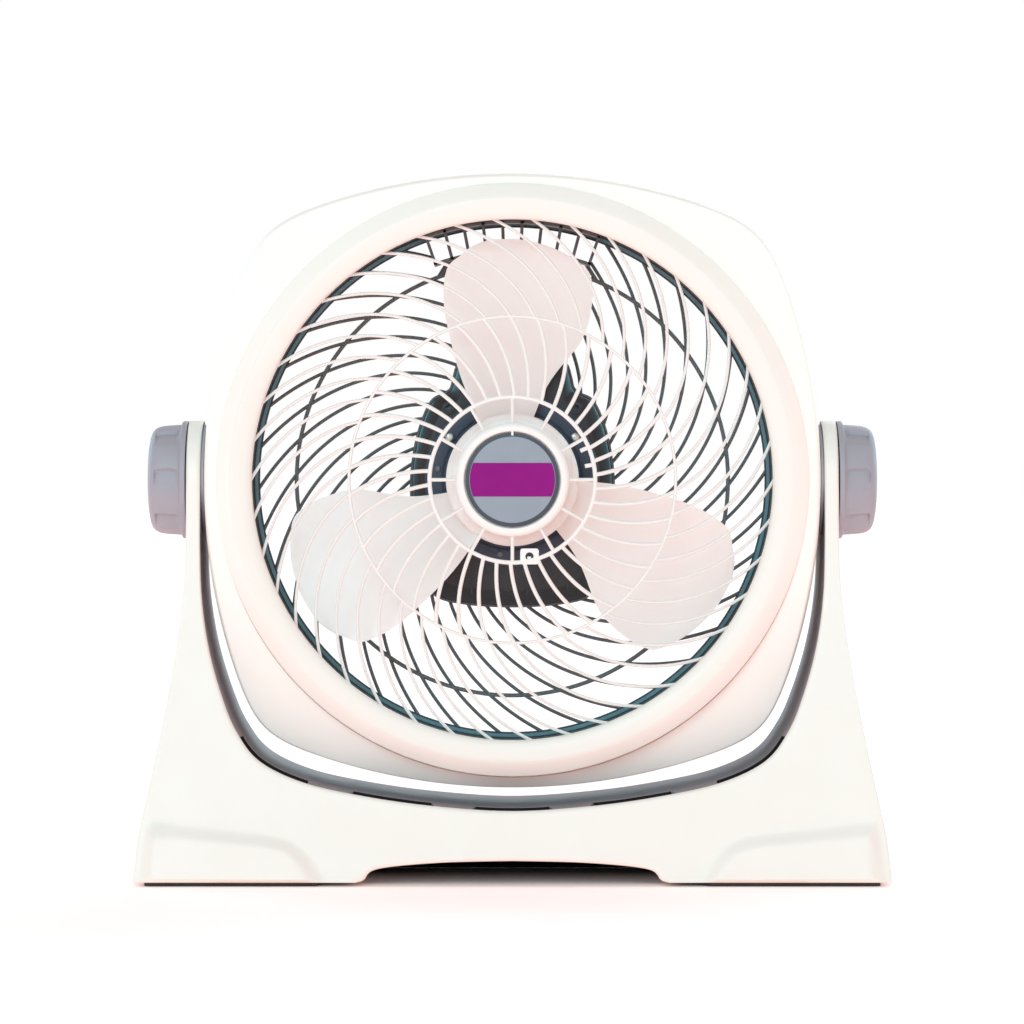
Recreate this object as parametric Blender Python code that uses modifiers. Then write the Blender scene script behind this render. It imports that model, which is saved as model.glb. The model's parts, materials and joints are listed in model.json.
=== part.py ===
"""Box fan on a U-shaped floor base: a tilting square-round head with a three-blade fan behind a swirl grille.

Everything is laid out from the pivot, the line along X through the fan's centre on which the head tilts: +X is
to the right seen from the front, +Y to the back and +Z up. Lengths are written in millimetres and turned into
metres by mm().
"""

from math import atan2, cos, exp, log, pi, radians, sin, sqrt

import bmesh
import bpy
from mathutils import Matrix, Vector

# ---------------------------------------------------------------- driving dimensions, in millimetres
PIVOT_HEIGHT = 331.0      # the pivot above the floor
PIVOT_SETBACK = 4.0       # the pivot in front of the middle of the whole object's depth
GAP = 0.3                 # between pieces that touch

WALL = 2.5                # moulded shells
BLADE_RADIUS = 200.0      # a 16 inch fan
HEAD_HALF = 252.7         # the head's reach upwards from its centre
HEAD_GROWTH = 0.007       # share by which it reaches further to the sides and downwards
SIDE_ARC = 500.0          # radius of each of the head's four bowed sides
CORNER_SOFTNESS = (10.8, 8.2)   # how far the head's corners are rounded off, at the top and at the bottom

OPENING_RADIUS = 214.0    # the round opening in the front
BEZEL_RADIUS = 244.4      # outside of the raised round bezel
PLATE_Y = (-54.0, -48.0)  # the square plate round the bezel, at the head's top and at its bottom
EDGE_Y = (-54.0, -30.0)   # that plate's outer edge
BEZEL_Y = -68.0           # front of the bezel
BACK_Y = 61.0             # back of the head
PARTING_Y = 47.0          # where the front housing meets the back panel
DUCT_RADIUS = 222.0

ARM_INNER_X = 257.5       # the base's arms beside the head
ARM_OUTER_X = 269.5
ARM_TOP_RADIUS = 49.2     # the arms end in a half round about the pivot
FOOT_Z = -PIVOT_HEIGHT + 3.2
FOOT_PANEL_RISE = 4.0     # the feet's raised panels

SHAFT_RADIUS = 4.0
KNOB_FLUTES = 7           # finger recesses round each clamping knob, one facing straight forward
HOLE_CLEARANCE = 0.4
ROUND = 16                # sides of a small round piece
HEAD_SIDES = 40           # points round the head's outline

CENTRAL_PLATE_Y = 52.0    # the rear grille's middle plate, which carries the motor
COVER_BACK_Y = 94.5

# right half of the motor's housing seen from the front: a block with two ears on rounded shoulders
MOTOR_OUTLINE = [
    (0, 102), (38, 101), (45.5, 97), (49, 86), (51.5, 77), (58, 72), (68, 66), (77, 46), (83, 20),
    (85, -8), (82, -48), (75, -78), (65, -97), (40, -104), (0, -106.4),
]
MOTOR_SCREWS = [(52.4, 35.5), (-52.4, 35.5), (52.4, -35.5), (-52.4, -35.5)]
COVER_SCREWS = [(64, 38), (-64, 38), (58, -80), (-58, -80)]
BASE_SCREWS = [(272, -288), (-272, -288), (150, -290), (-150, -290)]
SWITCH_Z = -25.0
GLAND_Z = -86.0

# the base seen from the front, right half: its outside, its U-shaped inside and its underside
BASE_OUTSIDE = [(ARM_OUTER_X, 60), (ARM_OUTER_X, 0), (ARM_OUTER_X, -60), (273, -115), (283, -181),
                (296, -247), (305, -290), (309, FOOT_Z)]
BASE_INSIDE = [(ARM_INNER_X, 60), (ARM_INNER_X, 0), (ARM_INNER_X, -55), (255.5, -99), (249, -140),
               (238, -178), (226, -206), (207, -230), (172, -247), (126, -257.6), (68, -266), (0, -270.4)]
ARCH_CORNER = [(128, FOOT_Z), (110, -317)]
ARCH_TOP_Z = -310.5
# half the base's depth at several heights
BASE_DEPTH = [(49.2, 0), (53, -60), (62, -115), (73, -181), (86, -260), (98, FOOT_Z)]
LIP = 4.0                 # the shells' lips in front of and behind the grey liner
NOTCH = 24.0              # depth of the notches in the liner's front edge
POST_REACH = 89.5         # the screw posts inside the base end in its front and rear walls
LINER = 2.5

# swirling grille bars: (number of bars, radius they are measured from, first bar's angle there, turn per mm,
# change of that turn per mm, width of a bar)
FRONT_INNER_BARS = (38, 67.9, 3.4, 0.095, 0.00119, 3.3)
FRONT_OUTER_BARS = (42, 134.1, 4.9, 0.2605, 0.00124, 2.9)
FRONT_SPOKES = (12, 47.0, 0.0, 0.0, 0.0, 3.2)
REAR_BARS = (38, 84.0, 8.9, 0.519, -0.0005, 3.0)
FRONT_INNER_RING = (66.0, 69.8)
FRONT_MIDDLE_RING = (132.8, 135.4)
REAR_RING = (181.0, 185.0)
HUB_DISC_RADIUS = 48.5
BAR_DEPTH = 3.6
GRILLE_EDGE_Y = -54.0
GRILLE_DOME = 17.0        # the front grille's middle stands this far in front of its edge
POCKET = (192.0, 219.0, 70.0, 110.0)   # hand pocket in the top of the rear grille: radii and angles
POCKET_BARS = 10


def mm(value):
    return value * 0.001


# ---------------------------------------------------------------- materials
def make_material(name, colour, roughness, metallic=0.0):
    material = bpy.data.materials.new(name)
    material.use_nodes = True
    shader = material.node_tree.nodes["Principled BSDF"]
    shader.inputs["Base Color"].default_value = (*colour, 1.0)
    shader.inputs["Roughness"].default_value = roughness
    shader.inputs["Metallic"].default_value = metallic
    return material


# ---------------------------------------------------------------- shapes
def baked(obj):
    """Replaces obj by a plain mesh of what it evaluates to, welded and facing out."""
    graph = bpy.context.evaluated_depsgraph_get()
    mesh = bpy.data.meshes.new_from_object(obj.evaluated_get(graph))
    matrix = obj.matrix_world.copy()
    bpy.data.objects.remove(obj)
    bm = bmesh.new()
    bm.from_mesh(mesh)
    bmesh.ops.remove_doubles(bm, verts=bm.verts, dist=1e-6)
    bmesh.ops.recalc_face_normals(bm, faces=bm.faces)
    bm.to_mesh(mesh)
    bm.free()
    mesh.transform(matrix)
    mesh.materials.clear()
    made = bpy.data.objects.new("shape", mesh)
    bpy.context.scene.collection.objects.link(made)
    bpy.context.view_layer.update()
    return made


def moved(obj, offset=(0, 0, 0), matrix=None):
    if matrix is not None:
        obj.data.transform(matrix)
    obj.data.transform(Matrix.Translation([mm(v) for v in offset]))
    return obj


ALONG_Y = Matrix(((1, 0, 0, 0), (0, 0, 1, 0), (0, -1, 0, 0), (0, 0, 0, 1)))      # a shape's +Z becomes +Y
ALONG_X = Matrix(((0, 0, 1, 0), (0, 1, 0, 0), (-1, 0, 0, 0), (0, 0, 0, 1)))      # a shape's +Z becomes +X
OUTLINE_XZ = Matrix(((1, 0, 0, 0), (0, 0, 1, 0), (0, 1, 0, 0), (0, 0, 0, 1)))    # drawn (x, z), thick along Y
OUTLINE_YZ = Matrix(((0, 0, 1, 0), (1, 0, 0, 0), (0, 1, 0, 0), (0, 0, 0, 1)))    # drawn (y, z), thick along X


def prism(loops, low, high, plane=OUTLINE_XZ):
    """A flat outline, with any holes as further loops, made thick between low and high."""
    curve = bpy.data.curves.new("outline", "CURVE")
    curve.dimensions = "2D"
    curve.fill_mode = "BOTH"
    curve.extrude = mm(high - low) / 2
    for loop in loops:
        spline = curve.splines.new("POLY")
        spline.points.add(len(loop) - 1)
        for point, (u, v) in zip(spline.points, loop):
            point.co = (mm(u), mm(v), 0, 1)
        spline.use_cyclic_u = True
    obj = bpy.data.objects.new("outline", curve)
    bpy.context.scene.collection.objects.link(obj)
    bpy.context.view_layer.update()
    obj = baked(obj)
    obj.data.transform(Matrix.Translation((0, 0, mm(low + high) / 2)))
    obj.data.transform(plane)
    if plane.determinant() < 0:
        obj.data.flip_normals()
    return obj


def turned(profile, sides=ROUND, along=ALONG_Y):
    """A turned profile of (radius, distance along the axis) points: a closed loop or one ending on the axis."""
    mesh = bpy.data.meshes.new("profile")
    on_axis = profile[0][0] == 0 and profile[-1][0] == 0
    count = len(profile)
    edges = [(i, (i + 1) % count) for i in range(count - 1 if on_axis else count)]
    mesh.from_pydata([(mm(r), 0, mm(h)) for r, h in profile], edges, [])
    obj = bpy.data.objects.new("profile", mesh)
    bpy.context.scene.collection.objects.link(obj)
    screw = obj.modifiers.new("turn", "SCREW")
    screw.axis = "Z"
    screw.steps = screw.render_steps = sides
    screw.use_merge_vertices = True
    screw.merge_threshold = 1e-5
    bpy.context.view_layer.update()
    return moved(baked(obj), matrix=along)


def cylinder(radius, low, high, centre=(0, 0), along=ALONG_Y, sides=ROUND):
    """A cylinder along Y at (x, z), or along X at (y, z), or along Z at (x, y)."""
    bm = bmesh.new()
    bmesh.ops.create_cone(bm, cap_ends=True, segments=sides, radius1=mm(radius), radius2=mm(radius),
                          depth=mm(high - low), matrix=Matrix.Translation((0, 0, mm(low + high) / 2)))
    mesh = bpy.data.meshes.new("cylinder")
    bm.to_mesh(mesh)
    bm.free()
    obj = bpy.data.objects.new("cylinder", mesh)
    bpy.context.scene.collection.objects.link(obj)
    first, second = centre
    places = {id(ALONG_Y): (first, 0, second), id(ALONG_X): (0, first, second), id(None): (first, second, 0)}
    return moved(obj, places[id(along)], along)


def box(low, high):
    bm = bmesh.new()
    bmesh.ops.create_cube(bm, size=1.0)
    size = [mm(b - a) for a, b in zip(low, high)]
    middle = [mm(a + b) / 2 for a, b in zip(low, high)]
    bmesh.ops.scale(bm, vec=size, verts=bm.verts)
    bmesh.ops.translate(bm, vec=middle, verts=bm.verts)
    mesh = bpy.data.meshes.new("box")
    bm.to_mesh(mesh)
    bm.free()
    obj = bpy.data.objects.new("box", mesh)
    bpy.context.scene.collection.objects.link(obj)
    return obj


def together(objects):
    """Several shapes that don't touch each other as one mesh."""
    bm = bmesh.new()
    for obj in objects:
        bm.from_mesh(obj.data)
    mesh = bpy.data.meshes.new("group")
    bm.to_mesh(mesh)
    bm.free()
    for obj in objects:
        bpy.data.objects.remove(obj)
    group = bpy.data.objects.new("group", mesh)
    bpy.context.scene.collection.objects.link(group)
    return group


def combined(target, other, operation):
    modifier = target.modifiers.new(operation, "BOOLEAN")
    modifier.object = other
    modifier.operation = operation
    modifier.solver = "EXACT"
    bpy.context.view_layer.update()
    result = baked(target)
    bpy.data.objects.remove(other)
    return result


def joined(target, *others):
    for other in others:
        target = combined(target, other, "UNION")
    return target


def cut(target, *others):
    for other in others:
        target = combined(target, other, "DIFFERENCE")
    return target


def common(target, other):
    return combined(target, other, "INTERSECT")


def copy_of(obj):
    made = bpy.data.objects.new("copy", obj.data.copy())
    bpy.context.scene.collection.objects.link(made)
    return made


def circle(radius, sides=ROUND, centre=(0, 0)):
    return [(centre[0] + radius * cos(2 * pi * i / sides), centre[1] + radius * sin(2 * pi * i / sides))
            for i in range(sides)]


def smooth(points, steps):
    """Catmull-Rom curve through points, with that many steps between each two."""
    ends = [points[0], *points, points[-1]]
    made = []
    for a, b, c, d in zip(ends, ends[1:], ends[2:], ends[3:]):
        for step in range(steps):
            t = step / steps
            made.append(tuple(
                0.5 * (2 * q + (r - p) * t + (2 * p - 5 * q + 4 * r - s) * t**2
                       + (3 * q - p - 3 * r + s) * t**3)
                for p, q, r, s in zip(a, b, c, d)))
    return [*made, points[-1]]


def inset(loop, distance):
    """A closed counter-clockwise loop moved inwards, or outwards for a negative distance."""
    made = []
    for (ax, ay), (bx, by), (cx, cy) in zip([loop[-1], *loop[:-1]], loop, [*loop[1:], loop[0]]):
        first = Vector((bx - ax, by - ay)).normalized()
        second = Vector((cx - bx, cy - by)).normalized()
        normal = Vector((-first.y - second.y, first.x + second.x))
        normal = normal * (2 * distance / normal.length_squared)
        made.append((bx + normal.x, by + normal.y))
    return made


def mirrored(half):
    """A closed counter-clockwise loop from its right half, which runs from top to bottom on X 0."""
    return [*[(-x, z) for x, z in half if x > 0.01], *half[::-1]]


def lofted(rings):
    """A closed ring-shaped surface through loops of equal length, the last joined to the first."""
    bm = bmesh.new()
    rows = [[bm.verts.new([mm(v) for v in point]) for point in ring] for ring in rings]
    for row, following in zip(rows, [*rows[1:], rows[0]]):
        for i in range(len(row)):
            j = (i + 1) % len(row)
            bm.faces.new((row[i], row[j], following[j], following[i]))
    bmesh.ops.recalc_face_normals(bm, faces=bm.faces)
    mesh = bpy.data.meshes.new("loft")
    bm.to_mesh(mesh)
    bm.free()
    obj = bpy.data.objects.new("loft", mesh)
    bpy.context.scene.collection.objects.link(obj)
    return obj


# ---------------------------------------------------------------- the finished pieces
def start():
    for obj in list(bpy.data.objects):
        bpy.data.objects.remove(obj)
    collection = bpy.data.collections.new("box_fan")
    bpy.context.scene.collection.children.link(collection)
    pivot = bpy.data.objects.new("pivot", None)
    pivot.location = (0, -mm(PIVOT_SETBACK), mm(PIVOT_HEIGHT))
    collection.objects.link(pivot)
    return collection, pivot


COLLECTION, PIVOT = start()

WHITE = make_material("white_plastic", (0.86, 0.85, 0.83), 0.38)
BLADE_PINK = make_material("blade_plastic", (0.84, 0.76, 0.74), 0.35)
GREY = make_material("grey_plastic", (0.36, 0.37, 0.41), 0.45)
CHARCOAL = make_material("charcoal_plastic", (0.05, 0.055, 0.065), 0.5)
BLACK = make_material("black_plastic", (0.02, 0.018, 0.02), 0.5)
NAVY = make_material("navy_paint", (0.03, 0.04, 0.07), 0.4)
RUBBER = make_material("rubber", (0.03, 0.03, 0.03), 0.8)
STEEL = make_material("steel", (0.62, 0.62, 0.63), 0.3, 1.0)
COPPER = make_material("copper", (0.7, 0.3, 0.12), 0.35, 1.0)
BRASS = make_material("bronze", (0.6, 0.4, 0.2), 0.4, 1.0)
BADGE = make_material("badge", (0.38, 0.03, 0.25), 0.3)
IRON = make_material("laminations", (0.3, 0.3, 0.31), 0.45, 1.0)


def piece(name, shape, material, origin=(0, 0, 0)):
    """Names a finished shape and hangs it on the pivot, with its own origin on its joint's axis."""
    shape.name = name
    shape.data.name = name
    shape.data.transform(Matrix.Translation([-mm(v) for v in origin]))
    shape.data.materials.append(material)
    shape.data.shade_smooth()
    shape.data.set_sharp_from_angle(angle=radians(35))
    shape.parent = PIVOT
    shape.location = [mm(v) for v in origin]
    for collection in list(shape.users_collection):
        collection.objects.unlink(shape)
    COLLECTION.objects.link(shape)
    return shape


# ---------------------------------------------------------------- base
def u_half():
    """The right half of the base's U-shaped inside, level where it meets the left half."""
    x, z = BASE_INSIDE[-2]
    return smooth([*BASE_INSIDE, (-x, z)], 2)[:-2]


def base_loops():
    """The base's front outline and the outline of the space inside its walls."""
    outside = smooth(BASE_OUTSIDE, 2)
    inside = u_half()
    arch = smooth([ARCH_CORNER[1], (60, -312), (0, ARCH_TOP_Z)], 2)
    right = [*inside[::-1], *outside, ARCH_CORNER[0], *arch]
    outline = [*right, *[(-x, z) for x, z in right[::-1] if x > 0.01]]
    cavity_outside = [(x - WALL, z) for x, z in outside[:-1]]
    cavity_inside = offset_inside(LINER + GAP + 0.2)
    low = FOOT_Z + WALL
    under = [(outside[-1][0] - WALL, low), (131, low), (112, -313), (104, -313), (104, -345)]
    right = [*cavity_inside[::-1], *cavity_outside, *under]
    cavity = [*right, *[(-x, z) for x, z in right[::-1] if x > 0.01]]
    return outline[::-1], cavity[::-1]


def offset_inside(distance):
    """The right half of the U, moved that far into the base, from its top to the middle."""
    half = u_half()
    loop = [*[(-x, z) for x, z in half], *half[:-1][::-1]]
    moved_loop = inset(loop, -distance)
    right = moved_loop[len(half):][::-1]
    bottom = half[-1][1] - distance
    return [(right[0][0], half[0][1]), *right[1:], (0, bottom)]


def side_loop(extra):
    """The base seen from the side, extra millimetres bigger all round, with a half round top."""
    half = [(y + extra, z) for y, z in smooth(BASE_DEPTH, 2)]
    top = ARM_TOP_RADIUS + extra
    arc = [(top * cos(radians(a)), top * sin(radians(a))) for a in range(15, 180, 15)]
    return [*[(-y, z) for y, z in half], (-half[-1][0], -350), (half[-1][0], -350), *half[::-1], *arc]


def foot_panel(side):
    """Outline of the raised panel on one foot, seen from the front."""
    half = [(154, FOOT_Z), (158, -321), (168, -306), (181, -295.5), (197, -290.7), (294, -280.8), (299, -283),
            (303, FOOT_Z)]
    return [(side * x, z) for x, z in half]


def liner_notches():
    """Cutters for the narrow notches along the liner's front edge, each over a span of X."""
    edge = side_loop(-LIP - NOTCH)
    spans = ((-31, 31), (66, 133), (168, 223), (-133, -66), (-223, -168))
    strips = [common(box((low, -100, -290), (high, -50, -195)), prism([grown], -320, 320, OUTLINE_YZ))
              for low, high in spans for grown in [side_loop(-LIP + 1)]]
    return [cut(strip, prism([edge], -320, 320, OUTLINE_YZ)) for strip in strips]


def rear_skirt():
    """The rear wall's lower part, which closes the arch at the back."""
    half = [(0, -306), (90, -306), (118, -312), (135, FOOT_Z)]
    skirt = common(prism([mirrored(half + [(0, FOOT_Z)])], 20, 130),
                   prism([side_loop(0)], -320, 320, OUTLINE_YZ))
    return cut(skirt, prism([side_loop(-WALL)], -320, 320, OUTLINE_YZ))


def make_base():
    outline, cavity = base_loops()
    body = common(prism([outline], -130, 130), prism([side_loop(0)], -320, 320, OUTLINE_YZ))
    for side in (-1, 1):
        panel = common(prism([foot_panel(side)], -130, 130),
                       prism([side_loop(FOOT_PANEL_RISE)], -320, 320, OUTLINE_YZ))
        body = joined(body, panel)
    hollow = common(prism([cavity], -130, 130), prism([side_loop(-WALL)], -320, 320, OUTLINE_YZ))
    body = cut(body, hollow)

    u_band = u_half()
    outer = offset_inside(LINER)
    liner_loop = [*u_band, *outer[::-1]]
    left = [(-x, z) for x, z in u_band[:-1]][::-1]
    liner_loop = [*u_band, *left, *[(-x, z) for x, z in outer[:-1]], *outer[::-1]]
    liner = common(prism([liner_loop], -130, 130), prism([side_loop(-LIP)], -320, 320, OUTLINE_YZ))
    window_half = offset_inside(LINER + GAP + 1.0)
    window_loop = [*[(x - 15 * (x > 0.01), z + 15) for x, z in u_band], *window_half[::-1]]
    window_left = [(-x, z) for x, z in window_loop[:len(u_band) - 1]][::-1]
    window_loop = [*window_loop[:len(u_band)], *window_left,
                   *[(-x, z) for x, z in window_half[:-1]], *window_half[::-1]]
    window = common(prism([window_loop], -130, 130), prism([side_loop(-LIP + GAP)], -320, 320, OUTLINE_YZ))
    body = cut(body, window)

    bolt_hole = cylinder(SHAFT_RADIUS + 0.5, -320, 320, along=ALONG_X)
    body = cut(body, copy_of(bolt_hole))
    for side in (-1, 1):
        inner, outer_x = sorted((side * (ARM_INNER_X + 1), side * (ARM_OUTER_X - WALL - GAP)))
        liner = joined(liner, cylinder(14, inner, outer_x, along=ALONG_X))
    liner = cut(liner, bolt_hole, *liner_notches())

    halves = {}
    for name, low, high in (("front", -130, -GAP / 2), ("rear", GAP / 2, 130)):
        halves[name] = common(copy_of(body), box((-330, low, -360), (330, high, 80)))
    bpy.data.objects.remove(body)
    halves["rear"] = joined(halves["rear"], rear_skirt())
    for x, z in BASE_SCREWS:
        post = cylinder(5.5, -POST_REACH, -GAP / 2, (x, z), sides=8)
        halves["front"] = cut(joined(halves["front"], post), cylinder(2.1, -16, 2, (x, z), sides=8))
        post = cylinder(6.8, GAP / 2, POST_REACH, (x, z), sides=8)
        halves["rear"] = cut(joined(halves["rear"], post), cylinder(2.3, -2, 90, (x, z), sides=8),
                             cylinder(4.8, 14, 110, (x, z), sides=8))
    piece("base_front_shell", halves["front"], WHITE)
    piece("base_rear_shell", halves["rear"], WHITE)
    piece("base_liner", liner, GREY)

    for number, (x, z) in enumerate(BASE_SCREWS, 1):
        piece(f"base_screw_{number}", screw(x, z, head_y=14 + GAP, tip_y=-13), STEEL)
    for name, side, low, high in (("front_left", -1, -94, -72), ("front_right", 1, -94, -72),
                                  ("rear_left", -1, 72, 94), ("rear_right", 1, 72, 94)):
        near, far = sorted((side * 158, side * 300))
        pad = box((near, low, -PIVOT_HEIGHT), (far, high, FOOT_Z - GAP))
        piece(f"foot_pad_{name}", pad, RUBBER)


def screw(x, z, head_y, tip_y, head_radius=4.0, shank_radius=1.7):
    """A pan-head screw along Y whose head is at the back."""
    direction = 1 if head_y > tip_y else -1
    top = head_y + 2.6 * direction
    profile = [(0, tip_y), (shank_radius, tip_y), (shank_radius, head_y), (head_radius, head_y),
               (head_radius * 0.8, top), (0, top)]
    return moved(turned(profile, sides=8), (x, 0, z))


# ---------------------------------------------------------------- pivots
def make_pivots():
    for name, side in (("left", -1), ("right", 1)):
        mirror = Matrix.Scale(side, 4, (1, 0, 0))

        def on_side(shape):
            shape.data.transform(mirror)
            if side < 0:
                shape.data.flip_normals()
            return shape

        hole = SHAFT_RADIUS + HOLE_CLEARANCE
        near = HEAD_HALF * (1 + HEAD_GROWTH) + GAP
        disc = turned([(hole, near), (46, near), (46, 257.2), (hole, 257.2)], 28, ALONG_X)
        piece(f"pivot_disc_{name}", on_side(disc), GREY)
        nut = cut(cylinder(7.5, 239.4, 245.8, along=ALONG_X, sides=6),
                  cylinder(hole, 230, 260, along=ALONG_X))
        piece(f"pivot_nut_{name}", on_side(nut), STEEL)
        piece(f"pivot_stud_{name}", on_side(cylinder(SHAFT_RADIUS, 237.5, 291.5, along=ALONG_X)), STEEL)
        washer = turned([(hole, 269.8), (11, 269.8), (11, 271.2), (hole, 271.2)], ROUND, ALONG_X)
        piece(f"knob_washer_{name}", on_side(washer), STEEL)
        profile = [(0, 303.4), (32, 302.3), (40, 299.9), (44.5, 293.6), (45.7, 280), (45.9, 275.8), (49, 274.6),
                   (49, 270.3), (42, 270.3), (42, 290.5), (36, 298), (13, 299.6), (13, 271.6),
                   (SHAFT_RADIUS + GAP, 271.6), (SHAFT_RADIUS + GAP, 292), (0, 292)]
        knob = turned(profile, 24, ALONG_X)
        pitch = 360 / KNOB_FLUTES
        scoops = [prism([sector(43.6, 52.0, 168.3 + pitch * flute, 191.7 + pitch * flute, 2)], 277.8, 295.6,
                        OUTLINE_YZ) for flute in range(KNOB_FLUTES)]
        piece(f"knob_{name}", on_side(cut(knob, together(scoops))), GREY)


# ---------------------------------------------------------------- head housing
def head_radius(angle):
    """Distance from the fan's centre to the head's outline: four bowed sides with their corners smoothed."""
    softness = CORNER_SOFTNESS[0] + (CORNER_SOFTNESS[1] - CORNER_SOFTNESS[0]) * lowness(angle, 0.2)
    growth = 1 + HEAD_GROWTH * lowness(angle, -0.9)
    centre = SIDE_ARC - HEAD_HALF
    side = sqrt(SIDE_ARC**2 - (centre * sin(angle))**2) - centre * abs(cos(angle))
    top = sqrt(SIDE_ARC**2 - (centre * cos(angle))**2) - centre * abs(sin(angle))
    nearest = min(side, top)
    both = exp((nearest - side) / softness) + exp((nearest - top) / softness)
    return growth * (nearest - softness * log(both))


def lowness(angle, first):
    """0 where minus the angle's sine is first or less and 1 from 0.7 more, with a smooth passage."""
    share = min(1.0, max(0.0, (-sin(angle) - first) / 0.7))
    return share * share * (3 - 2 * share)


def head_ring(kind, value, y):
    """One loop of the head: kind "edge" is value inside the outline, "round" is a circle of radius value.

    A y that is a pair is the one at the head's top and the one at its bottom.
    """
    ring = []
    top, bottom = y if isinstance(y, tuple) else (y, y)
    for i in range(HEAD_SIDES):
        angle = 2 * pi * i / HEAD_SIDES
        radius = value if kind == "round" else head_radius(angle) - value
        y = top + (bottom - top) * lowness(angle, 0.2)
        ring.append((radius * cos(angle), y, radius * sin(angle)))
    return ring


def behind(plate, distance):
    """Y of what lies that far behind the square plate or its edge, at the head's top and at its bottom."""
    return tuple(y + distance for y in plate)


def make_housing():
    front = lofted([head_ring(*step) for step in (
        ("edge", 5, PARTING_Y), ("edge", 1, 5), ("edge", 0, behind(EDGE_Y, 8)),
        ("edge", 1.2, behind(EDGE_Y, 2)),
        ("edge", 4.5, EDGE_Y), ("round", BEZEL_RADIUS, behind(PLATE_Y, -0.5)),
        ("round", 237, -64), ("round", 230, BEZEL_Y),
        ("round", 219, BEZEL_Y + 0.5), ("round", OPENING_RADIUS, BEZEL_Y + 5),
        ("round", OPENING_RADIUS, -58.5),
        ("round", 221.2, -58.5), ("round", 221.2, -48), ("round", 223.5, -48), ("round", 223.5, -62),
        ("round", 233, -62), ("round", 240, behind(PLATE_Y, WALL)), ("edge", 7.5, behind(EDGE_Y, WALL)),
        ("edge", 3.5, behind(EDGE_Y, 10)),
        ("edge", 5 + WALL, PARTING_Y))])
    for side in (-1, 1):
        inner, outer = sorted((side * 246.1, side * HEAD_HALF * (1 + HEAD_GROWTH)))
        front = joined(front, cylinder(45.5, inner, outer, along=ALONG_X, sides=24))
    front = cut(front, cylinder(SHAFT_RADIUS + HOLE_CLEARANCE, -300, 300, along=ALONG_X))
    piece("front_housing", front, WHITE)

    panel = lofted([head_ring(*step) for step in (
        ("edge", 5, PARTING_Y + GAP), ("edge", 5.5, 54), ("edge", 8, 59), ("edge", 12, BACK_Y),
        ("round", 229.5, BACK_Y), ("round", 226.5, BACK_Y - 1.5), ("round", 226.5, 50),
        ("round", DUCT_RADIUS, 50),
        ("round", DUCT_RADIUS, -44), ("round", DUCT_RADIUS + WALL, -44), ("round", DUCT_RADIUS + WALL, 46),
        ("round", 229, 48), ("round", 229, BACK_Y - WALL), ("edge", 13, BACK_Y - WALL), ("edge", 10, 56),
        ("edge", 5 + WALL, PARTING_Y + GAP))])
    piece("rear_housing", panel, WHITE)


# ---------------------------------------------------------------- grilles
def dome_y(radius):
    return GRILLE_EDGE_Y - GRILLE_DOME * (1 - (radius / OPENING_RADIUS)**2)


def bar_edge(bars, number, side, radius):
    """The point where one edge, side -1 or 1, of a swirling bar crosses a radius."""
    count, start_radius, first, turn, change, width = bars
    away = radius - start_radius
    slant = atan2(radius * radians(turn + 2 * change * away), 1)
    angle = radians(first + 360 * number / count + turn * away + change * away**2)
    angle += side * width / 2 / cos(slant) / radius
    return (radius * cos(angle), radius * sin(angle))


def openings(bars, inner, outer, steps, arc_steps=1):
    """The loops of all the openings between neighbouring bars, from one ring to the next."""
    loops = []
    for number in range(bars[0]):
        ends = [(inner(bars, number, 1), outer), (inner(bars, number + 1, -1), outer)]
        low, high = [[bar_edge(bars, number + i, 1 - 2 * i, start + (stop - start) * k / steps)
                      for k in range(steps + 1)] for i, (start, stop) in enumerate(ends)]
        loops.append([*low, *arc_between(low[-1], high[-1], arc_steps), *high[::-1],
                      *arc_between(high[0], low[0], arc_steps)])
    return loops


def arc_between(first, second, steps):
    """Points between two others on a circle round the centre."""
    start_angle, end_angle = atan2(first[1], first[0]), atan2(second[1], second[0])
    turn = (end_angle - start_angle + pi) % (2 * pi) - pi
    radius = sqrt(first[0]**2 + first[1]**2)
    return [(radius * cos(start_angle + turn * i / steps), radius * sin(start_angle + turn * i / steps))
            for i in range(1, steps)]


def from_radius(radius):
    return lambda bars, number, side: radius


def sector(inner, outer, first, last, steps):
    """A closed counter-clockwise loop round part of a ring, in (x, z)."""
    angles = [radians(first + (last - first) * i / steps) for i in range(steps + 1)]
    return [*[(outer * cos(a), outer * sin(a)) for a in angles],
            *[(inner * cos(a), inner * sin(a)) for a in reversed(angles)]]


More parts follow.
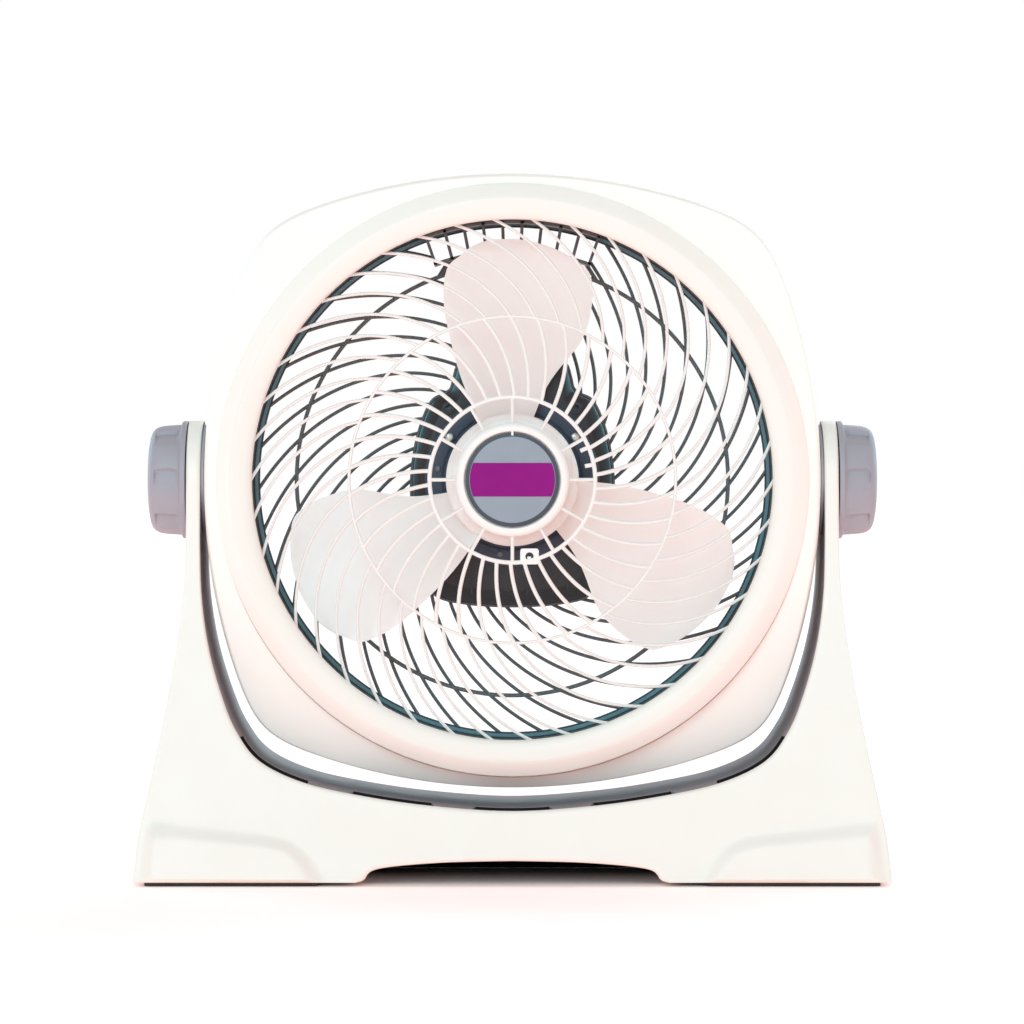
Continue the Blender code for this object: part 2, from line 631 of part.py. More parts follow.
def make_front_grille():
    loops = [circle(219.6, 64)]
    loops += openings(FRONT_OUTER_BARS, from_radius(FRONT_MIDDLE_RING[1]), 214.6, 3)
    loops += openings(FRONT_INNER_BARS, from_radius(FRONT_INNER_RING[1]), FRONT_MIDDLE_RING[0], 2)
    loops += openings(FRONT_SPOKES, from_radius(HUB_DISC_RADIUS), FRONT_INNER_RING[0], 1, 3)
    grille = prism(loops, 0, BAR_DEPTH)
    for vertex in grille.data.vertices:
        radius = sqrt(vertex.co.x**2 + vertex.co.z**2) * 1000
        vertex.co.y += mm(dome_y(radius) - BAR_DEPTH / 2)
    hub_y = dome_y(0)
    collar = turned([(40, hub_y), (48, hub_y), (49, hub_y - 3), (45, hub_y - 6), (40, hub_y - 5.4)], 36)
    grille = joined(grille, collar)
    angle = radians(282.5)
    x, z = 63.8 * cos(angle), 63.8 * sin(angle)
    y = dome_y(63.8)
    grille = joined(grille, box((x - 7.5, y - 1.1, z - 5.5), (x + 7.5, y + 1.1, z + 6.5)))
    grille = cut(grille, cylinder(2.4, y - 10, y + 10, (x, z + 1.5), sides=8))
    piece("front_grille", grille, WHITE)
    face_y = hub_y - BAR_DEPTH / 2 - GAP
    badge = turned([(0, face_y), (38.5, face_y), (38.5, hub_y - 4.6), (37, hub_y - 5.2), (0, hub_y - 5.2)],
                   36)
    piece("hub_badge", badge, BADGE)


def motor_loop(extra=0.0):
    return inset(mirrored(MOTOR_OUTLINE), -extra)


def outside_motor(bars, number, side):
    """The radius where one edge of a bar leaves the plate behind the motor."""
    loop = [Vector(point) for point in motor_loop(2.0)]
    radius = 70.0
    while radius < 130:
        point = Vector(bar_edge(bars, number, side, radius))
        crossings = sum(1 for a, b in zip(loop, [*loop[1:], loop[0]]) if (a.y > point.y) != (b.y > point.y)
                        and point.x < a.x + (point.y - a.y) * (b.x - a.x) / (b.y - a.y))
        if crossings % 2 == 0:
            break
        radius += 0.25
    return radius


def make_rear_grille():
    y = CENTRAL_PLATE_Y
    loops = [circle(225.0, 64)]
    loops += openings(REAR_BARS, outside_motor, REAR_RING[0], 4)
    loops += openings(REAR_BARS, from_radius(REAR_RING[1]), 215.0, 1)
    grille = prism([*loops, circle(30, ROUND)], y, y + BAR_DEPTH)

    inner, outer, first, last = POCKET
    floor_y = y - 21
    edge = 1.3
    mouth = sector(inner + 1.3, outer - 1.3, first + 0.5, last - 0.5, 6)
    grille = cut(grille, prism([mouth], y - 30, y + 30))
    pocket = prism([sector(inner, outer, first, last, 6)], floor_y, y + 5.2)
    pocket = cut(pocket, prism([sector(inner + WALL, outer - WALL, first + edge, last - edge, 6)],
                               floor_y + WALL, y + 30))
    pitch = (last - first - 2 * edge) / (POCKET_BARS - 1)
    slots = [prism([sector(inner + WALL + 1, outer - WALL - 1, first + edge + pitch * i + 0.55,
                           first + edge + pitch * (i + 1) - 0.55, 1)], floor_y - 5, floor_y + 5)
             for i in range(POCKET_BARS - 1)]
    grille = joined(grille, cut(pocket, together(slots)))
    for x, z in COVER_SCREWS:
        grille = cut(grille, cylinder(2.3, y - 5, y + 9, (x, z), sides=8))
    piece("rear_grille", grille, CHARCOAL)


# ---------------------------------------------------------------- motor
def make_motor():
    floor_y = CENTRAL_PLATE_Y - GAP
    housing = cut(prism([motor_loop()], 12, floor_y), prism([motor_loop(-WALL)], 5, floor_y - WALL))
    for x, z in MOTOR_SCREWS:
        housing = cut(joined(housing, cylinder(5.5, 12, floor_y - 1, (x, z), sides=8)),
                      cylinder(2.1, 5, 30, (x, z), sides=8))
    for x, z in COVER_SCREWS:
        housing = cut(joined(housing, cylinder(5.5, 30, floor_y - 1, (x, z), sides=8)),
                      cylinder(2.1, 35, 60, (x, z), sides=8))
    piece("motor_housing", housing, BLACK)

    front = turned([(9.3, 8.2), (20, 7.0), (66, 7.0), (73, 9.0), (73, 11.7), (9.3, 11.7)], 36)
    for x, z in MOTOR_SCREWS:
        front = cut(front, cylinder(2.3, 0, 20, (x, z), sides=8))
    piece("motor_front_plate", front, NAVY)
    for number, (x, z) in enumerate(MOTOR_SCREWS, 1):
        piece(f"motor_screw_{number}", screw(x, z, head_y=7 - GAP, tip_y=26), STEEL)
    piece("stator_core", turned([(26.8, 19), (46, 19), (46, 36), (26.8, 36)], 24), IRON)
    for name, low in (("front", 12.4), ("rear", 36.4)):
        coil = turned([(29, low), (44, low), (45, low + 3), (43, low + 6), (30, low + 6)], ROUND)
        piece(f"winding_{name}", coil, COPPER)
    rear_bell = turned([(9.3, 44.6), (46, 44.6), (46, 47.4), (9.3, 47.4)], ROUND)
    piece("motor_rear_bell", rear_bell, STEEL)
    bush_hole = SHAFT_RADIUS + 0.15
    for name, low, high in (("front", 5.0, 16.0), ("rear", 39.5, 48.4)):
        piece(f"bushing_{name}", turned([(bush_hole, low), (9, low), (9, high), (bush_hole, high)]), BRASS)

    piece("motor_shaft", shaft(), STEEL)
    core_hole = SHAFT_RADIUS + GAP
    core = turned([(core_hole, 17.5), (26, 17.5), (26, 37.5), (core_hole, 37.5)], 20)
    piece("rotor_core", core, IRON)
    pin = cylinder(1.5, -8, 8, (PIN_Y, 0), along=ALONG_X, sides=12)
    piece("drive_pin", pin, STEEL)


PIN_Y = -6.0


def shaft():
    """The shaft, cross-drilled for the drive pin."""
    body = cylinder(SHAFT_RADIUS, -46, 47.5)
    return cut(body, cylinder(1.8, -10, 10, (PIN_Y, 0), along=ALONG_X, sides=12))


# ---------------------------------------------------------------- fan
# the blade's edge: (radius, middle angle, half its width in degrees)
BLADE_STATIONS = [
    (54.0, 95.0, 23.8), (84.0, 93.5, 24.0), (125.0, 88.9, 25.1), (155.0, 88.2, 23.2), (182.0, 88.2, 19.2),
    (190.5, 88.7, 14.4), (196.0, 90.2, 9.8), (BLADE_RADIUS, 92.0, 3.6),
]
BLADE_DEPTH = 44.0
BLADE_MIDDLE_Y = -24.0
HUB_RADIUS = 55.0


def blade(turn):
    """One pitched and slightly cambered blade, turned round the hub by turn degrees."""
    columns = 4
    bm = bmesh.new()
    rows = []
    for radius, middle, half in BLADE_STATIONS:
        row = []
        for i in range(columns + 1):
            across = 2 * i / columns - 1
            widest = 24.0
            depth = BLADE_DEPTH * min(1.0, half / widest) * (1.0 - 0.25 * (radius / BLADE_RADIUS)**2)
            camber = 5.0 * (1 - across**2) * min(1.0, half / widest)
            y = BLADE_MIDDLE_Y - across * depth / 2 + camber
            angle = radians(turn + middle + across * half)
            row.append(bm.verts.new([mm(v) for v in (radius * cos(angle), y, radius * sin(angle))]))
        rows.append(row)
    for low, high in zip(rows, rows[1:]):
        for i in range(columns):
            bm.faces.new((low[i], low[i + 1], high[i + 1], high[i]))
    mesh = bpy.data.meshes.new("blade")
    bm.to_mesh(mesh)
    bm.free()
    obj = bpy.data.objects.new("blade", mesh)
    bpy.context.scene.collection.objects.link(obj)
    solid = obj.modifiers.new("thickness", "SOLIDIFY")
    solid.thickness = mm(2.4)
    solid.offset = 0
    bpy.context.view_layer.update()
    return baked(obj)


def make_fan():
    bore = SHAFT_RADIUS + GAP
    profile = [(bore, -40.5), (10, -40.5), (12, -45.5), (40, -47), (50, -45), (HUB_RADIUS, -39),
               (HUB_RADIUS, -2.5), (HUB_RADIUS - 2.5, -2.5), (HUB_RADIUS - 2.5, -38), (48, -42), (13, -43),
               (10, -38), (10, -2.5), (bore, -2.5)]
    fan = turned(profile, 32)
    for number in range(3):
        fan = joined(fan, blade(120 * number))
    fan = cut(fan, box((-9, PIN_Y - 1.9, -1.9), (9, 3, 1.9)))
    piece("fan_blade", fan, BLADE_PINK)
    nut = turned([(bore, -41 - GAP), (9, -41 - GAP), (8, -46.5), (bore, -46.5)], 12)
    piece("spinner_nut", nut, BLADE_PINK)


# ---------------------------------------------------------------- back of the head
def make_rear_cover():
    low = CENTRAL_PLATE_Y + 3.5 + GAP
    outside = [(0, low), (0, COVER_BACK_Y - 9), (-2.5, COVER_BACK_Y - 3), (-8, COVER_BACK_Y)]
    inside = [(-8 - WALL, COVER_BACK_Y - WALL), (-5.5, COVER_BACK_Y - 6), (-WALL, COVER_BACK_Y - 11),
              (-WALL, low)]
    cover = capped([[(x, y, z) for x, z in motor_loop(extra)] for extra, y in outside],
                   [[(x, y, z) for x, z in motor_loop(extra)] for extra, y in inside])
    for x, z in COVER_SCREWS:
        cover = joined(cover, cylinder(6.5, low, COVER_BACK_Y - 1.0, (x, z), sides=8))
    for x, z in COVER_SCREWS:
        cover = cut(cover, cylinder(2.3, low - 2, 100, (x, z), sides=8),
                    cylinder(4.8, 72, 110, (x, z), sides=8))
    vents = [box((-32, 80, z - 2), (32, 110, z + 2)) for z in range(30, 90, 9)]
    cover = cut(cover, together(vents), cylinder(4.0, 80, 110, (0, SWITCH_Z)),
                cylinder(7.3, 80, 110, (0, GLAND_Z)))
    piece("rear_cover", cover, CHARCOAL)
    for number, (x, z) in enumerate(COVER_SCREWS, 1):
        piece(f"cover_screw_{number}", screw(x, z, head_y=72 + GAP, tip_y=38), STEEL)

    switch = cut(box((-17, 73, SWITCH_Z - 17), (17, COVER_BACK_Y - WALL - GAP, SWITCH_Z + 17)),
                 cylinder(3.4, 84, 100, (0, SWITCH_Z)))
    piece("speed_switch", switch, BLACK)
    piece("capacitor", box((24, 58, -68), (42, 74, -28)), GREY)
    # a round-headed knob with a raised pointer bar, on a stem that enters the switch
    back = COVER_BACK_Y + 0.5
    profile = [(0, 85), (3, 85), (3, back), (20, back), (20, back + 7), (18, back + 8.5), (0, back + 8.5)]
    knob = joined(moved(turned(profile, 24), (0, 0, SWITCH_Z)),
                  box((-3.2, back + 4, SWITCH_Z - 18.5), (3.2, back + 15, SWITCH_Z + 18.5)))
    piece("speed_knob", knob, GREY, origin=(0, 0, SWITCH_Z))
    gland = turned([(3.6, 104.1), (5.5, 104.1), (9, 97.1), (9, 95.0), (6.9, 95.0), (6.9, 91.5), (8, 91.3),
                    (8, 89.1), (3.6, 89.1)], 12)
    piece("cord_gland", moved(gland, (0, 0, GLAND_Z)), BLACK)


def capped(outside, inside):
    """A tray: loops of equal length up its outside and down its inside, each ending in a flat cap."""
    bm = bmesh.new()
    rows = [[bm.verts.new([mm(v) for v in point]) for point in ring] for ring in [*outside, *inside]]
    for number, (row, following) in enumerate(zip(rows, [*rows[1:], rows[0]])):
        if number == len(outside) - 1:
            continue
        for i in range(len(row)):
            j = (i + 1) % len(row)
            bm.faces.new((row[i], row[j], following[j], following[i]))
    bm.faces.new(rows[len(outside) - 1])
    bm.faces.new(rows[len(outside)])
    bmesh.ops.recalc_face_normals(bm, faces=bm.faces)
    mesh = bpy.data.meshes.new("tray")
    bm.to_mesh(mesh)
    bm.free()
    obj = bpy.data.objects.new("tray", mesh)
    bpy.context.scene.collection.objects.link(obj)
    return obj


make_base()
make_pivots()
make_housing()
make_front_grille()
make_rear_grille()
make_motor()
make_fan()
make_rear_cover()
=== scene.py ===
"""The look of the box fan: fine meshes and materials for the pieces that show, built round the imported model.

Shapes are laid out like the model, in millimetres from the pivot: +X right seen from the front, +Y back, +Z up.
"""

import json
from collections import namedtuple
from math import atan2, cos, degrees, exp, hypot, log, pi, radians, sin, sqrt

import bmesh
import bpy
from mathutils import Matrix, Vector


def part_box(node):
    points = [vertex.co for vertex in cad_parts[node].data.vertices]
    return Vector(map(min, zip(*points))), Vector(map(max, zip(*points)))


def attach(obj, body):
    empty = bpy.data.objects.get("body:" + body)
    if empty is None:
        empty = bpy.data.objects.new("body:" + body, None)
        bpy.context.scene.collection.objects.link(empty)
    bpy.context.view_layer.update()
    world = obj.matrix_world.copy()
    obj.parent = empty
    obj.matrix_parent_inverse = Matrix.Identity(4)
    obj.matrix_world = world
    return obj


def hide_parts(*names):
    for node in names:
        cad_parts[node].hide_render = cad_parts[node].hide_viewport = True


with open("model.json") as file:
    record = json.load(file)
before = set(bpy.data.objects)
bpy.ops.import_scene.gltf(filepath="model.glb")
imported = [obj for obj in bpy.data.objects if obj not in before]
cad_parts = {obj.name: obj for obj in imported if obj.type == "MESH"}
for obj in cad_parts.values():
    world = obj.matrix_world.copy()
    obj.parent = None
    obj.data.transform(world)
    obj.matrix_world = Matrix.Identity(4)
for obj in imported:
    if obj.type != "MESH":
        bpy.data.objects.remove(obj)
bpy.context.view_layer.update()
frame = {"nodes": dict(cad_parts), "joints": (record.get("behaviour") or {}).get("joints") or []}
JOINTS = {joint["name"]: joint for joint in frame["joints"]}
PIVOT = Vector(JOINTS["head_tilt"]["pos_m"])
FLOOR_Z = -PIVOT.z * 1000

# ------ shape of the object, in millimetres
HEAD_HALF, HEAD_GROWTH = 252.7, 0.007      # the head's reach upwards, and its extra share sideways and down
HEAD_SIDE = HEAD_HALF * (1 + HEAD_GROWTH)
SIDE_ARC = 500.0                # radius of each of the head's four bowed sides
CORNER_SOFTNESS = (10.8, 8.2)   # how far its corners are rounded off, at the top and at the bottom
BEZEL_Y = -68.0
OPENING_RADIUS = 214.0
PLATE_Y = (-55.0, -49.0)        # the square plate round the bezel, at the top and at the bottom
EDGE_Y = (-55.0, -40.0)         # that plate's outer edge
PARTING_Y = 47.0
BACK_Y = 61.0
DUCT_RADIUS = 222.0
SLOPES_FROM, SLOPES_Y = 232.4, -26.0    # the housing's faces outside and in front of these slope away
PAD_RADIUS = 45.9                       # the pads between the head and the base's arms

ARM_INNER_X, ARM_OUTER_X, ARM_TOP_RADIUS = 257.5, 269.5, 49.2
FOOT_Z = FLOOR_Z + 3.2
BASE_OUTSIDE = [(ARM_OUTER_X, 0), (ARM_OUTER_X, -60), (273, -115), (283, -181), (296, -247), (305, -290),
                (309, FOOT_Z)]
BASE_INSIDE = [(ARM_INNER_X, 0), (ARM_INNER_X, -55), (255.5, -99), (249, -140), (238, -178), (226, -206),
               (207, -230), (172, -247), (126, -257.6), (68, -266), (0, -270.4)]
FOOT_INNER_X = 128.0
ARCH = [(110, -317), (60, -312), (0, -310.5)]
BASE_DEPTH = [(49.2, 0), (53, -60), (62, -115), (73, -181), (86, -260), (98, FOOT_Z)]
BASE_EDGE = 3.0                 # rounding of the base's front edges
HOLLOW_X, HOLLOW_Y, HOLLOW_Z = 124.0, 70.0, (-345.0, -285.0)    # the hollow in the base over the arch
LIP, LINER = 4.0, 2.5
NOTCH = 34.0                    # depth of the notches in the liner's front edge
NOTCH_SPANS = ((-31, 31), (66, 133), (168, 223))    # the outer two are mirrored
FOOT_PANEL = [(150, FOOT_Z - 30), (154, FOOT_Z), (158, -321), (168, -306), (181, -295.5), (197, -290.7),
              (240, -286.2), (294, -280.8), (298.5, -284.5), (303, FOOT_Z), (303, FOOT_Z - 30)]
FOOT_PANEL_RISE, FOOT_PANEL_SLOPE = 5.0, 8.5
BASE_SCREWS = [(272, -288), (-272, -288), (150, -290), (-150, -290)]

# swirling bars: start is the radius they are measured from, turn is in degrees per mm away from it
Bars = namedtuple("Bars", "count start first_angle turn change width")
FRONT_INNER_BARS = Bars(38, 67.9, 3.4, 0.095, 0.00119, 3.3)
FRONT_OUTER_BARS = Bars(42, 134.1, 4.9, 0.2605, 0.00124, 2.6)
REAR_BARS = Bars(38, 84.0, 8.9, 0.519, -0.0005, 3.0)
SPOKES = 12
FRONT_RINGS = ((67.9, 3.5), (134.1, 2.5))
REAR_RING = (183.0, 3.5)
GRILLE_EDGE_Y, GRILLE_DOME = -54.0, 17.0
CENTRAL_PLATE_Y = 52.0
POCKET = (192.0, 219.0, 70.0, 110.0)    # the hand pocket: inner and outer radius, first and last angle
POCKET_BARS = 10

MOTOR_OUTLINE = [
    (0, 102), (38, 101), (45.5, 97), (49, 86), (51.5, 77), (58, 72), (68, 66), (77, 46), (83, 20),
    (85, -8), (82, -48), (75, -78), (65, -97), (40, -104), (0, -106.4),
]
MOTOR_SCREWS = [(52.4, 35.5), (-52.4, 35.5), (52.4, -35.5), (-52.4, -35.5)]
COVER_SCREWS = [(64, 38), (-64, 38), (58, -80), (-58, -80)]
COVER_BACK_Y = 94.5
SWITCH_Z = -25.0
GLAND_Z = -86.0
BLADE_RADIUS = 200.0
# a blade's edge: (radius, middle angle, half its width in degrees)
BLADE_STATIONS = [
    (54.0, 95.0, 23.8), (84.0, 93.5, 24.0), (125.0, 88.9, 25.1), (155.0, 88.2, 23.2), (182.0, 88.2, 19.2),
    (190.5, 88.7, 14.4), (196.0, 90.2, 9.8), (BLADE_RADIUS, 92.0, 3.6),
]
BLADE_DEPTH, BLADE_MIDDLE_Y, BLADE_THICKNESS = 44.0, -24.0, 2.4
HUB_RADIUS = 55.0


# ------ small geometry
def smoothstep(low, high, value):
    t = min(1.0, max(0.0, (value - low) / (high - low)))
    return t * t * (3 - 2 * t)


def smooth(points, steps, closed=False):
    """Catmull-Rom curve through points."""
    ends = [points[-1], *points, points[0], points[1]] if closed else [points[0], *points, points[-1]]
    made = []
    for a, b, c, d in zip(ends, ends[1:], ends[2:], ends[3:]):
        for step in range(steps):
            t = step / steps
            made.append(tuple(
                0.5 * (2 * q + (r - p) * t + (2 * p - 5 * q + 4 * r - s) * t**2 + (3 * q - p - 3 * r + s) * t**3)
                for p, q, r, s in zip(a, b, c, d)))
    return made if closed else [*made, points[-1]]


def resampled(points, count):
    """count + 1 evenly spaced points along a polyline."""
    lengths = [0.0]
    for a, b in zip(points, points[1:]):
        lengths.append(lengths[-1] + hypot(b[0] - a[0], b[1] - a[1]))
    made, i = [], 0
    for step in range(count + 1):
        target = lengths[-1] * step / count
        while i < len(points) - 2 and lengths[i + 1] < target:
            i += 1
        share = (target - lengths[i]) / max(1e-9, lengths[i + 1] - lengths[i])
        made.append(tuple(p + (q - p) * share for p, q in zip(points[i], points[i + 1])))
    return made


def rounded(profile, steps=4, closed=True):
    """Rounds a profile of (u, v, radius) points; a corner whose radius is 0 stays sharp."""
    made = []
    count = len(profile)
    for i, (u, v, radius) in enumerate(profile):
        if radius == 0 or (not closed and i in (0, count - 1)):
            made.append((u, v))
            continue
        corner = Vector((u, v))
        sides = []
        for other in (profile[i - 1], profile[(i + 1) % count]):
            away = Vector(other[:2]) - corner
            sides.append(corner + away * min(0.45, radius / max(1e-6, away.length)))
        for step in range(steps + 1):
            t = step / steps
            made.append(tuple(sides[0] * (1 - t)**2 + corner * (2 * t * (1 - t)) + sides[1] * t**2))
    return made


def inset(loop, distance):
    """A closed counter-clockwise loop moved inwards."""
    made = []
    for (ax, ay), (bx, by), (cx, cy) in zip([loop[-1], *loop[:-1]], loop, [*loop[1:], loop[0]]):
        first = Vector((bx - ax, by - ay)).normalized()
        second = Vector((cx - bx, cy - by)).normalized()
        normal = Vector((-first.y - second.y, first.x + second.x))
        normal = normal * (2 * distance / normal.length_squared)
        made.append((bx + normal.x, by + normal.y))
    return made


def inside_loop(loop, x, z):
    crossings = sum(1 for (ax, az), (bx, bz) in zip(loop, [*loop[1:], loop[0]])
                    if (az > z) != (bz > z) and x < ax + (z - az) * (bx - ax) / (bz - az))
    return crossings % 2 == 1


def polar(radius, angle, y):
    return (radius * cos(radians(angle)), y, radius * sin(radians(angle)))


def head_radius(angle):
    """Distance from the fan's centre to the head's outline: four bowed sides smoothed together."""
    low = smoothstep(0.2, 0.9, -sin(angle))
    softness = CORNER_SOFTNESS[0] + (CORNER_SOFTNESS[1] - CORNER_SOFTNESS[0]) * low
    growth = 1 + HEAD_GROWTH * smoothstep(-0.9, -0.2, -sin(angle))
    centre = SIDE_ARC - HEAD_HALF
    side = sqrt(SIDE_ARC**2 - (centre * sin(angle))**2) - centre * abs(cos(angle))
    top = sqrt(SIDE_ARC**2 - (centre * cos(angle))**2) - centre * abs(sin(angle))
    nearest = min(side, top)
    both = exp((nearest - side) / softness) + exp((nearest - top) / softness)
    return growth * (nearest - softness * log(both))


class Shape:
    """Vertices in millimetres from the pivot and faces, each face with the number of its material."""

    def __init__(self):
        self.points, self.faces, self.slots = [], [], []

    def face(self, indices, slot=0):
        self.faces.append(tuple(indices))
        self.slots.append(slot)

    def surface(self, rows, slot=0, close_rows=False, close_columns=True, caps=False):
        """Quads between rows of points of equal length; caps closes the first and last row."""
        starts = []
        for row in rows:
            starts.append(len(self.points))
            self.points += [tuple(point) for point in row]
        width = len(rows[0])
        for a, b in zip(starts, [*starts[1:], starts[0]] if close_rows else starts[1:]):
            for i in range(width if close_columns else width - 1):
                j = (i + 1) % width
                self.face((a + i, a + j, b + j, b + i), slot)
        if caps:
            self.face(range(starts[0] + width - 1, starts[0] - 1, -1), slot)
            self.face(range(starts[-1], starts[-1] + width), slot)
        return self

    def lathe(self, profile, sides=64, centre=(0, 0), along="y", slot=0, closed=True):
        """A profile of (radius, position) points turned about an axis through centre."""
        rows = []
        for i in range(sides):
            c, s = cos(2 * pi * i / sides), sin(2 * pi * i / sides)
            turned = [(centre[0] + r * c, h, centre[1] + r * s) for r, h in profile]
            rows.append([(h, u, v) if along == "x" else (u, h, v) for u, h, v in turned])
        return self.surface(rows, slot, close_rows=True, close_columns=closed)

    def pin(self, x, z, radius, low, high, sides=32):
        """A plain cylinder along Y."""
        return self.lathe([(0, low), (radius, low), (radius, high), (0, high)], sides, (x, z), closed=False)

    def tube(self, points, width, depth, sides=8, closed=False, slot=0):
        """A bar of oval section along points that lie across the Y axis."""
        path = [Vector(point) for point in points]
        rows = []
        for i, here in enumerate(path):
            before = path[i - 1] if closed or i else here
            after = path[(i + 1) % len(path)] if closed or i < len(path) - 1 else here
            ahead = (after - before).normalized()
            across = ahead.cross(Vector((0, 1, 0))).normalized()
            deep = across.cross(ahead)
            rows.append([here + across * (width / 2 * cos(2 * pi * k / sides))
                         + deep * (depth / 2 * sin(2 * pi * k / sides)) for k in range(sides)])
        return self.surface(rows, slot, close_rows=closed, caps=not closed)

    def slab(self, loop, layers, slot=0):
        """A plate whose outline is moved inwards by each layer's distance at that layer's y, capped at both ends."""
        rows = [[(x, y, z) for x, z in (inset(loop, distance) if distance else loop)] for distance, y in layers]
        return self.surface(rows, slot, caps=True)

    def block(self, low, high, slot=0):
        x, y, z = zip(low, high)
        corners = [[(x[0], v, z[0]), (x[1], v, z[0]), (x[1], v, z[1]), (x[0], v, z[1])] for v in y]
        return self.surface(corners, slot, caps=True)


# ------ materials
def noise(tree, coordinates, scale, detail=2.0):
    node = tree.nodes.new("ShaderNodeTexNoise")
    node.inputs["Scale"].default_value = scale
    node.inputs["Detail"].default_value = detail
    tree.links.new(coordinates, node.inputs["Vector"])
    return node.outputs["Fac"]


def faded(tree, value, low, high, first=0.0, last=1.0, kind="SMOOTHSTEP"):
    """Passage from first to last as a value goes from low to high."""
    node = tree.nodes.new("ShaderNodeMapRange")
    node.interpolation_type = kind
    for name, number in (("From Min", low), ("From Max", high), ("To Min", first), ("To Max", last)):
        node.inputs[name].default_value = number
    tree.links.new(value, node.inputs["Value"])
    return node.outputs["Result"]


def patches(tree, coordinates, scale, first, last, detail=2.0):
    """Patches of noise, spread from first to last."""
    return faded(tree, noise(tree, coordinates, scale, detail), 0.3, 0.7, first, last, "LINEAR")


def mixed(tree, share, first, second):
    """A colour between first and second, each of them a colour or another node's output."""
    node = tree.nodes.new("ShaderNodeMix")
    node.data_type = "RGBA"
    for socket, colour in ((node.inputs[6], first), (node.inputs[7], second)):
        if isinstance(colour, tuple):
            socket.default_value = colour
        else:
            tree.links.new(colour, socket)
    tree.links.new(share, node.inputs[0])
    return node.outputs[2]


def axes(tree):
    """The X, Y and Z outputs of a point of the object."""
    split = tree.nodes.new("ShaderNodeSeparateXYZ")
    tree.links.new(tree.nodes.new("ShaderNodeTexCoord").outputs["Object"], split.inputs[0])
    return split.outputs


def material(name, colour, roughness, metallic=0.0, specular=0.5, tint=0.025, patch=14.0, grain=1400.0,
             bump=0.05, bands=None, below=None):
    """A moulded or metal surface: faint patches of colour and gloss, and a fine grain that stands proud.

    bands is (direction, scale, strength) for the parallel lines of turning, winding or stacked sheet.
    below is (colour, height, height) for a second colour that takes over from the first between two heights.
    """
    made = bpy.data.materials.new(name)
    made.use_nodes = True
    tree = made.node_tree
    shader = tree.nodes["Principled BSDF"]
    shader.inputs["Metallic"].default_value = metallic
    shader.inputs["Specular IOR Level"].default_value = specular
    place = tree.nodes.new("ShaderNodeTexCoord").outputs["Object"]

    dark, light = [(*[min(1.0, c * share) for c in colour], 1) for share in (1 - tint, 1 + tint)]
    base = mixed(tree, patches(tree, place, patch, 0, 1, 3.0), dark, light)
    if below:
        other, low, high = below
        base = mixed(tree, faded(tree, axes(tree)[2], low, high), (*other, 1), base)
    tree.links.new(base, shader.inputs["Base Color"])
    gloss = patches(tree, place, patch * 2.3, roughness - 0.05, roughness + 0.05)
    tree.links.new(gloss, shader.inputs["Roughness"])

    height = noise(tree, place, grain, 2.0)
    if bands:
        direction, scale, strength = bands
        wave = tree.nodes.new("ShaderNodeTexWave")
        wave.bands_direction = direction
        wave.inputs["Scale"].default_value = scale
        tree.links.new(place, wave.inputs["Vector"])
        blend = tree.nodes.new("ShaderNodeMix")
        blend.inputs[0].default_value = strength
        tree.links.new(height, blend.inputs[2])
        tree.links.new(wave.outputs["Fac"], blend.inputs[3])
        height = blend.outputs[0]
    relief = tree.nodes.new("ShaderNodeBump")
    relief.inputs["Strength"].default_value = bump
    relief.inputs["Distance"].default_value = 0.0004
    tree.links.new(height, relief.inputs["Height"])
    tree.links.new(relief.outputs["Normal"], shader.inputs["Normal"])
    return made


EVEN = {"tint": 0.008, "bump": 0.03}
WHITE = material("white_shell", (0.875, 0.845, 0.795), 0.42, **EVEN)
# painted light: the housing's sloping faces get a lighter copy of the white shell, to make up for light they miss,
# and turn pinker towards the floor as painted floor bounce
PAINTED_LIGHT_SLOPE_WHITE = material("white_slope_painted_light", (0.95, 0.925, 0.875), 0.42, **EVEN,
                       below=((0.985, 0.91, 0.865), PIVOT.z - 0.07, PIVOT.z + 0.05))
GRILLE_WHITE = material("white_grille", (0.89, 0.86, 0.84), 0.4, **EVEN)
# painted shade: the blades' white plastic with the pink tint of their shade in the duct painted into its colour
BLADE = material("blade_white_painted_pink_shade", (0.94, 0.86, 0.84), 0.38, tint=0.012, patch=9, bump=0.03)
GREY = material("grey_knob", (0.36, 0.35, 0.4), 0.55, tint=0.04, grain=2200, bump=0.12)
LINER_GREY = material("grey_liner", (0.28, 0.255, 0.28), 0.6, tint=0.04, grain=2200, bump=0.12)
CHARCOAL = material("charcoal_grille", (0.12, 0.122, 0.127), 0.5, tint=0.08, bump=0.06)
TEAL = material("teal_rim", (0.115, 0.215, 0.26), 0.4, tint=0.1, bump=0.04)
# a darker copy of the teal, painted shade along the rim's two edges
TEAL_EDGE = material("teal_rim_edge", (0.016, 0.035, 0.045), 0.35, tint=0.1, bump=0.04)
BLACK = material("black_motor_case", (0.024, 0.021, 0.025), 0.42, specular=0.45, tint=0.15, bump=0.06)
